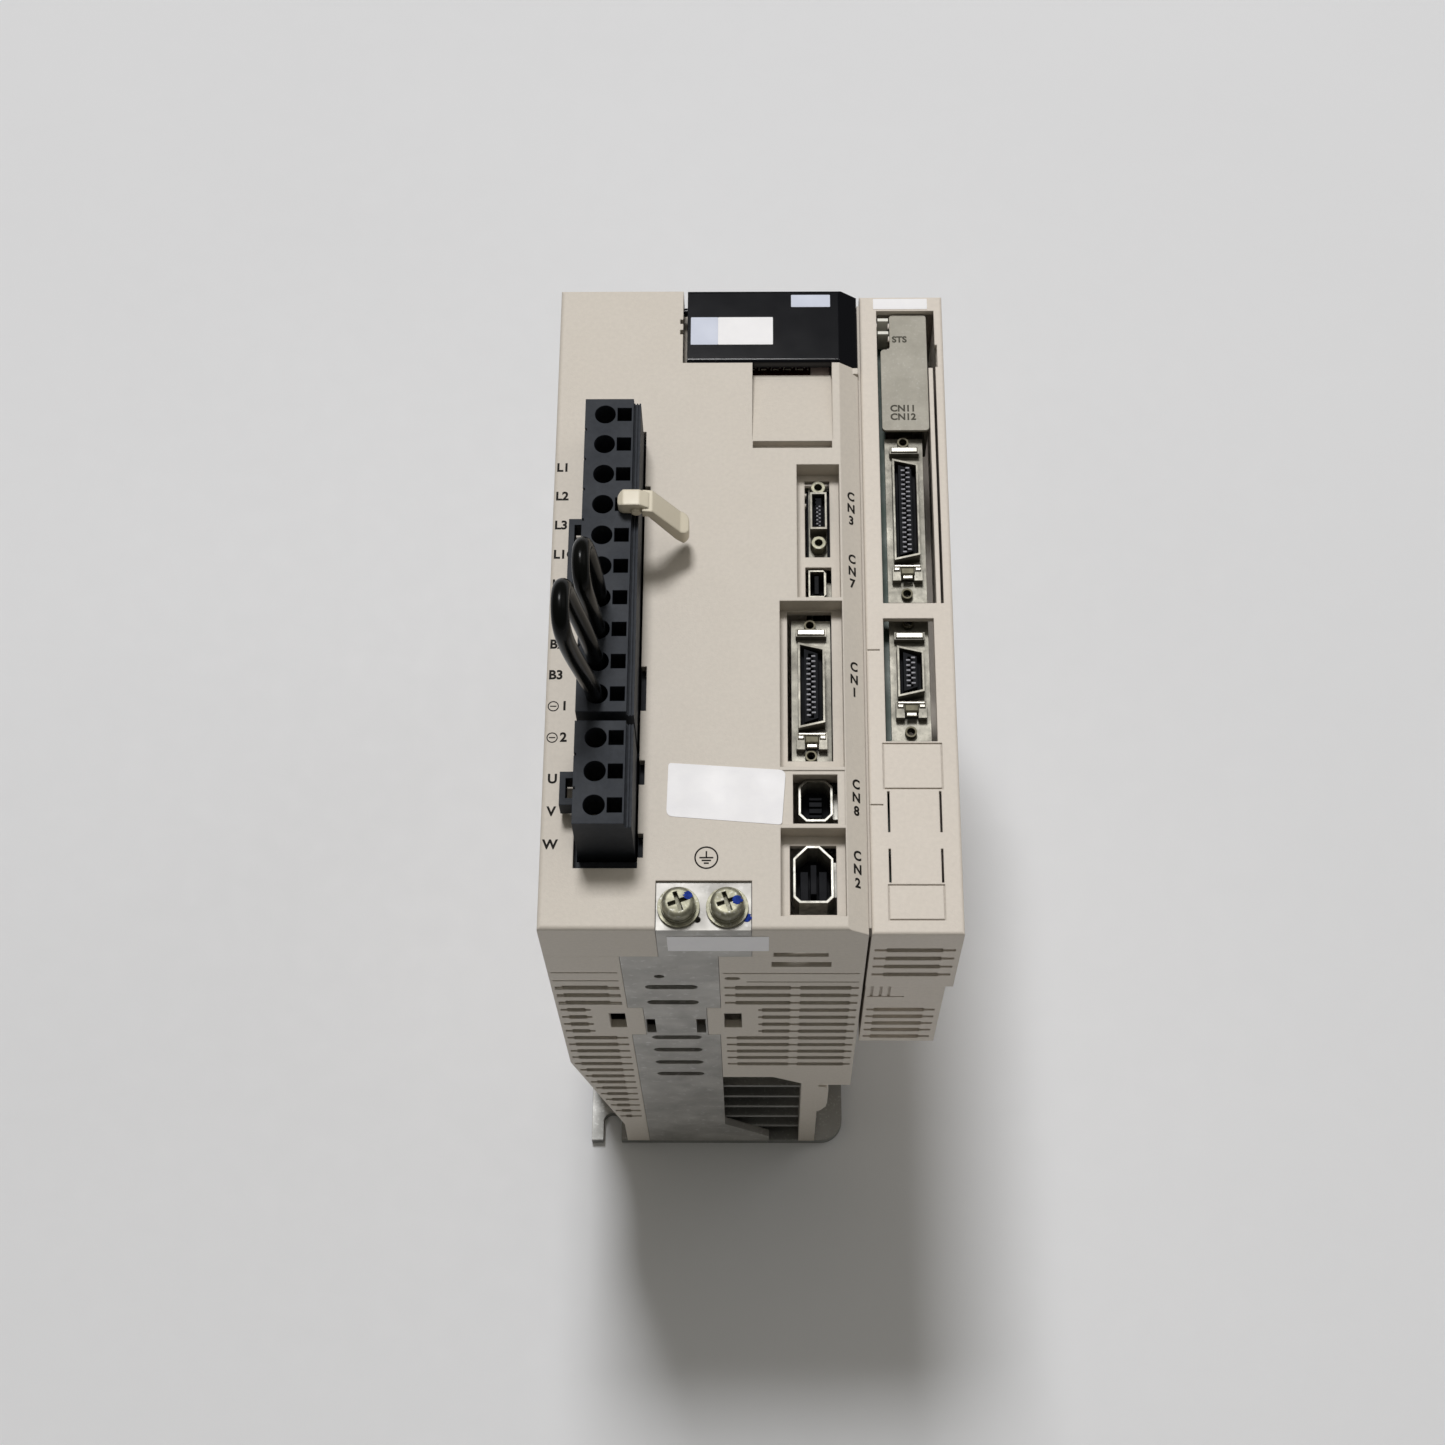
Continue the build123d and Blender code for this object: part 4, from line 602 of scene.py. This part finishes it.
jumper("jumper_a_wire", "jumper_a", [
    (-0.0224, -0.01072, 0.1880),
    (-0.0226, -0.0104, 0.2015),
    (-0.0235, -0.0099, 0.2128),
    (-0.0243, -0.0098, 0.2201),
    (-0.0247, -0.0126, 0.2229),
    (-0.0247, -0.0165, 0.2230),
    (-0.0244, -0.0193, 0.2202),
    (-0.0237, -0.0194, 0.2126),
    (-0.0227, -0.0187, 0.2010),
    (-0.0224, -0.01834, 0.1880),
])
jumper("jumper_b_wire", "jumper_b", [
    (-0.0224, -0.02596, 0.1880),
    (-0.0229, -0.0256, 0.2015),
    (-0.0249, -0.0250, 0.2135),
    (-0.0266, -0.0248, 0.2235),
    (-0.0273, -0.0250, 0.2308),
    (-0.0276, -0.0278, 0.2335),
    (-0.0276, -0.0318, 0.2336),
    (-0.0274, -0.0346, 0.2308),
    (-0.0267, -0.0349, 0.2232),
    (-0.0250, -0.0347, 0.2130),
    (-0.0229, -0.0340, 0.2010),
    (-0.0224, -0.03358, 0.1880),
])


# ================================================================ connector details
RIBBON_PITCH, RIBBON_RUNG = 0.00125, (0.0009, 0.00042)
SERIAL_PITCH, SERIAL_RUNG = 0.0010, (0.00045, 0.00036)
RUNG_STAGGER_SHARE, RUNG_COLUMN_SHARE = 0.25, 0.62
RUNG_SINK, RUNG_RISE, RUNG_BEVEL = 0.0006, 0.00012, 0.00006
POST_X, POST_LOW_Z, POST_HIGH_Z, POST_RADIUS, POST_BORE = 0.0254, 0.1724, 0.1752, 0.0019, 0.0009
POST_CHAMFER, POST_TOP_SHARE, POST_HOLE_FLOOR = 0.0003, 0.84, 0.0002
LATCH_THICK, LATCH_BEVEL = 0.0004, 0.0002
LATCH_HALF, LEG_INNER, TIP_HALF, MIDDLE_HALF = 0.0031, 0.0017, 0.0012, 0.0016
MAIN_LATCH_Z, OPTION_LATCH_Z = 0.1752, 0.1740


def contact_rungs(name, socket, centre_x, count, pitch, rung):
    """Two staggered columns of contacts, each as large as the rung, lying on a connector's tongue."""
    low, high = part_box(socket)
    middle_y = (low.y + high.y) / 2
    half_x, half_y = rung[0] / 2, rung[1] / 2

    def build(work):
        for side in (-1, 1):
            x = centre_x + side * rung[0] * RUNG_COLUMN_SHARE
            for i in range(count):
                y = middle_y + (i - (count - 1) / 2 + RUNG_STAGGER_SHARE * side) * pitch
                add_bevelled_box(work, (x - half_x, y - half_y, high.z - RUNG_SINK),
                                 (x + half_x, y + half_y, high.z + RUNG_RISE), RUNG_BEVEL)
    return finish_piece(mesh_object(name, build), contact_grey, "drive")


def hex_post(name, y, steps=24):
    """A six-sided jack post with a hole down its middle and a chamfered top."""
    angles = [2 * math.pi * i / steps for i in range(steps)]
    flats = [math.cos(math.pi / 6) / math.cos((angle % (math.pi / 3)) - math.pi / 6) for angle in angles]
    outer = [POST_RADIUS * flat for flat in flats]
    levels = ((outer, POST_LOW_Z), (outer, POST_HIGH_Z - POST_CHAMFER),
              ([POST_RADIUS * POST_TOP_SHARE] * steps, POST_HIGH_Z),
              ([POST_BORE] * steps, POST_HIGH_Z), ([POST_BORE] * steps, POST_LOW_Z + POST_HOLE_FLOOR))

    def build(work):
        rings = [[work.verts.new((POST_X + reach * math.cos(angle), y + reach * math.sin(angle), z))
                  for reach, angle in zip(reaches, angles)] for reaches, z in levels]
        for first, second in zip(rings, rings[1:]):
            bridge(work, first, second)
        work.faces.new(rings[-1])
        work.faces.new(list(reversed(rings[0])))
    return finish_piece(mesh_object(name, build, 30), screw_metal, "drive")


def latch_bars(name, x, collar_ys, z):
    """The bright folded latch springs above and below a ribbon connector's collar, round a dull middle."""
    low, high = collar_ys
    folds = (
        (-LATCH_HALF, LATCH_HALF, high + 0.0024, high + 0.0038),
        (-LATCH_HALF, LATCH_HALF, low - 0.0012, low - 0.0005),
        (-LATCH_HALF, -LEG_INNER, low - 0.0021, low - 0.0012),
        (LEG_INNER, LATCH_HALF, low - 0.0021, low - 0.0012),
        (-TIP_HALF, TIP_HALF, low - 0.0042, low - 0.0032),
    )

    def build(work):
        for left, right, fold_low, fold_high in folds:
            add_bevelled_box(work, (x + left, fold_low, z), (x + right, fold_high, z + LATCH_THICK),
                             LATCH_BEVEL)

    def build_middle(work):
        add_bevelled_box(work, (x - MIDDLE_HALF, low - 0.0031, z - 0.0002),
                         (x + MIDDLE_HALF, low - 0.0013, z + 0.0005), 0.0003)
    finish_piece(mesh_object(name + "_middle", build_middle), dull_metal, "drive")
    return finish_piece(mesh_object(name, build), materials["steel"], "drive")


contact_rungs("cn1_contacts", "cn1_socket", 0.0233, 12, RIBBON_PITCH, RIBBON_RUNG)
contact_rungs("cn11_contacts", "cn11_socket", 0.0455, 18, RIBBON_PITCH, RIBBON_RUNG)
contact_rungs("cn12_contacts", "cn12_socket", 0.0455, 6, RIBBON_PITCH, RIBBON_RUNG)
contact_rungs("cn3_contacts", "cn3_socket", 0.0254, 6, SERIAL_PITCH, SERIAL_RUNG)
hex_post("cn3_post_high", 0.0290)
hex_post("cn3_post_low", 0.0146)
latch_bars("cn1_latches", 0.0234, (-0.0323, -0.0114), MAIN_LATCH_Z)
latch_bars("cn11_latches", 0.0455, (0.0099, 0.0364), OPTION_LATCH_Z)
latch_bars("cn12_latches", 0.0455, (-0.0242, -0.0116), OPTION_LATCH_Z)


# ================================================================ display under the cover
DIGIT_COUNT = 5
DIGIT_ROOM, FIRST_DIGIT = 5.6, 0.85
DIGIT_TALL, DIGIT_WIDE, DIGIT_LINE = 0.0052, 0.0020, 0.00035
DIGIT_RAISE_Y = 0.0010
SEGMENT_RISE, SEGMENT_BEVEL = 0.00006, 0.00002
POINT_PLACE_SHARE, POINT_RADIUS_SHARE = 0.9, 0.6


def seven_segment_digits():
    """Five unlit digits on the display module, seen once the cover is open."""
    low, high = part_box("display_module")
    pitch = (high.x - low.x) / DIGIT_ROOM
    tall, wide, line = DIGIT_TALL, DIGIT_WIDE, DIGIT_LINE
    centre_y = (low.y + high.y) / 2 + DIGIT_RAISE_Y
    top = high.z + SEGMENT_RISE

    def build(work):
        for digit in range(DIGIT_COUNT):
            x = low.x + pitch * (digit + FIRST_DIGIT)
            for row in (-1, 0, 1):
                y = centre_y + row * tall / 2
                add_bevelled_box(work, (x - wide / 2 + line, y - line / 2, high.z),
                                 (x + wide / 2 - line, y + line / 2, top), SEGMENT_BEVEL)
            for side in (-1, 1):
                for half in (-1, 1):
                    cx, cy = x + side * wide / 2, centre_y + half * tall / 4
                    add_bevelled_box(work, (cx - line / 2, cy - tall / 4 + line, high.z),
                                     (cx + line / 2, cy + tall / 4 - line, top), SEGMENT_BEVEL)
            point = circle(x + wide * POINT_PLACE_SHARE, centre_y - tall / 2, line * POINT_RADIUS_SHARE, 12)
            add_prism(work, point, high.z, top)
    return finish_piece(mesh_object("display_digits", build), materials["light_bar"], "drive")


seven_segment_digits()


# ================================================================ paint marks
DAB_SPOTS = ((-0.0031, -0.0737, 0.1838, 0.0009), (0.0072, -0.0747, 0.1838, 0.0010),
             (0.0092, -0.0771, 0.1794, 0.0010))
DAB_DEPTH = 0.0001
DAB_UNEVENNESS = 0.3


def ink_dab(name, phase, x, y, z, radius):
    """An uneven dab of paint with its top at z. The phase moves its bulges round."""
    outline = [(x + (px - x) * (1 + DAB_UNEVENNESS * math.sin(3 * k + phase)), py)
               for k, (px, py) in enumerate(circle(x, y, radius, 18))]

    def build(work):
        add_prism(work, outline, z - DAB_DEPTH, z)
    return finish_piece(mesh_object(name, build), marker_ink, "drive")


for spot_number, spot in enumerate(DAB_SPOTS):
    ink_dab(f"ink_dab_{spot_number}", spot_number, *spot)


# ================================================================ floor, light and camera
FLOOR_REACH, FLOOR_CORNER, FLOOR_LOW_Z, FLOOR_TOP_Z = 3, 0.4, -0.02, -0.00005
LIGHT_TARGET = (0, 0, 0.1)
WORLD_COLOUR, WORLD_STRENGTH = (1.0, 0.96, 0.84, 1), 0.13
CAMERA_PLACE = (0.012117, -0.245628, 0.655220)
CAMERA_SWING, CAMERA_LEAN, CAMERA_ROLL = 0.99711, 24.16058, 0.37242
LENS_MM, SENSOR_MM, NEAREST = 59.57, 36, 0.01


def make_floor():
    """A plain pale floor under the object."""
    def build(work):
        outline = rounded_rectangle(-FLOOR_REACH, -FLOOR_REACH, FLOOR_REACH, FLOOR_REACH, FLOOR_CORNER)
        add_prism(work, outline, FLOOR_LOW_Z, FLOOR_TOP_Z)
    floor = mesh_object("floor", build)
    floor.data.materials.append(floor_grey)


def area_light(name, place, size, power, colour=(1, 1, 1)):
    """A soft square light that faces the middle of the object."""
    lamp = bpy.data.lights.new(name, "AREA")
    lamp.size = size
    lamp.energy = power
    lamp.color = colour
    holder = new_object(name, lamp)
    holder.location = place
    holder.rotation_euler = (Vector(LIGHT_TARGET) - Vector(place)).to_track_quat("-Z", "Y").to_euler()


def make_lights():
    """A main light high above the top edge, weak ones from the right and from above, and warm surroundings."""
    area_light("key_light", (-0.24, 1.30, 3.20), size=0.68, power=69, colour=(0.99, 0.985, 0.985))
    area_light("fill_light", (0.9, 0.3, 1.1), size=0.9, power=1.2)
    area_light("top_light", (0, 0.2, 2.5), size=1.0, power=3.4, colour=(1.0, 0.97, 0.9))
    world = bpy.data.worlds.new("studio")
    world.use_nodes = True
    background = world.node_tree.nodes["Background"]
    background.inputs["Color"].default_value = WORLD_COLOUR
    background.inputs["Strength"].default_value = WORLD_STRENGTH
    bpy.context.scene.world = world
    bpy.context.scene.view_settings.view_transform = "Standard"


def make_camera():
    """The camera, close above the front panel and leaning back from the low edge."""
    lens = bpy.data.cameras.new("camera")
    lens.lens = LENS_MM
    lens.sensor_width = SENSOR_MM
    lens.clip_start = NEAREST
    holder = new_object("camera", lens)
    swing, lean, roll = (Matrix.Rotation(math.radians(degrees), 4, axis)
                         for degrees, axis in ((CAMERA_SWING, "Y"), (CAMERA_LEAN, "X"), (CAMERA_ROLL, "Z")))
    holder.matrix_world = Matrix.Translation(CAMERA_PLACE) @ (swing @ lean @ roll)
    bpy.context.scene.camera = holder


make_floor()
make_lights()
make_camera()
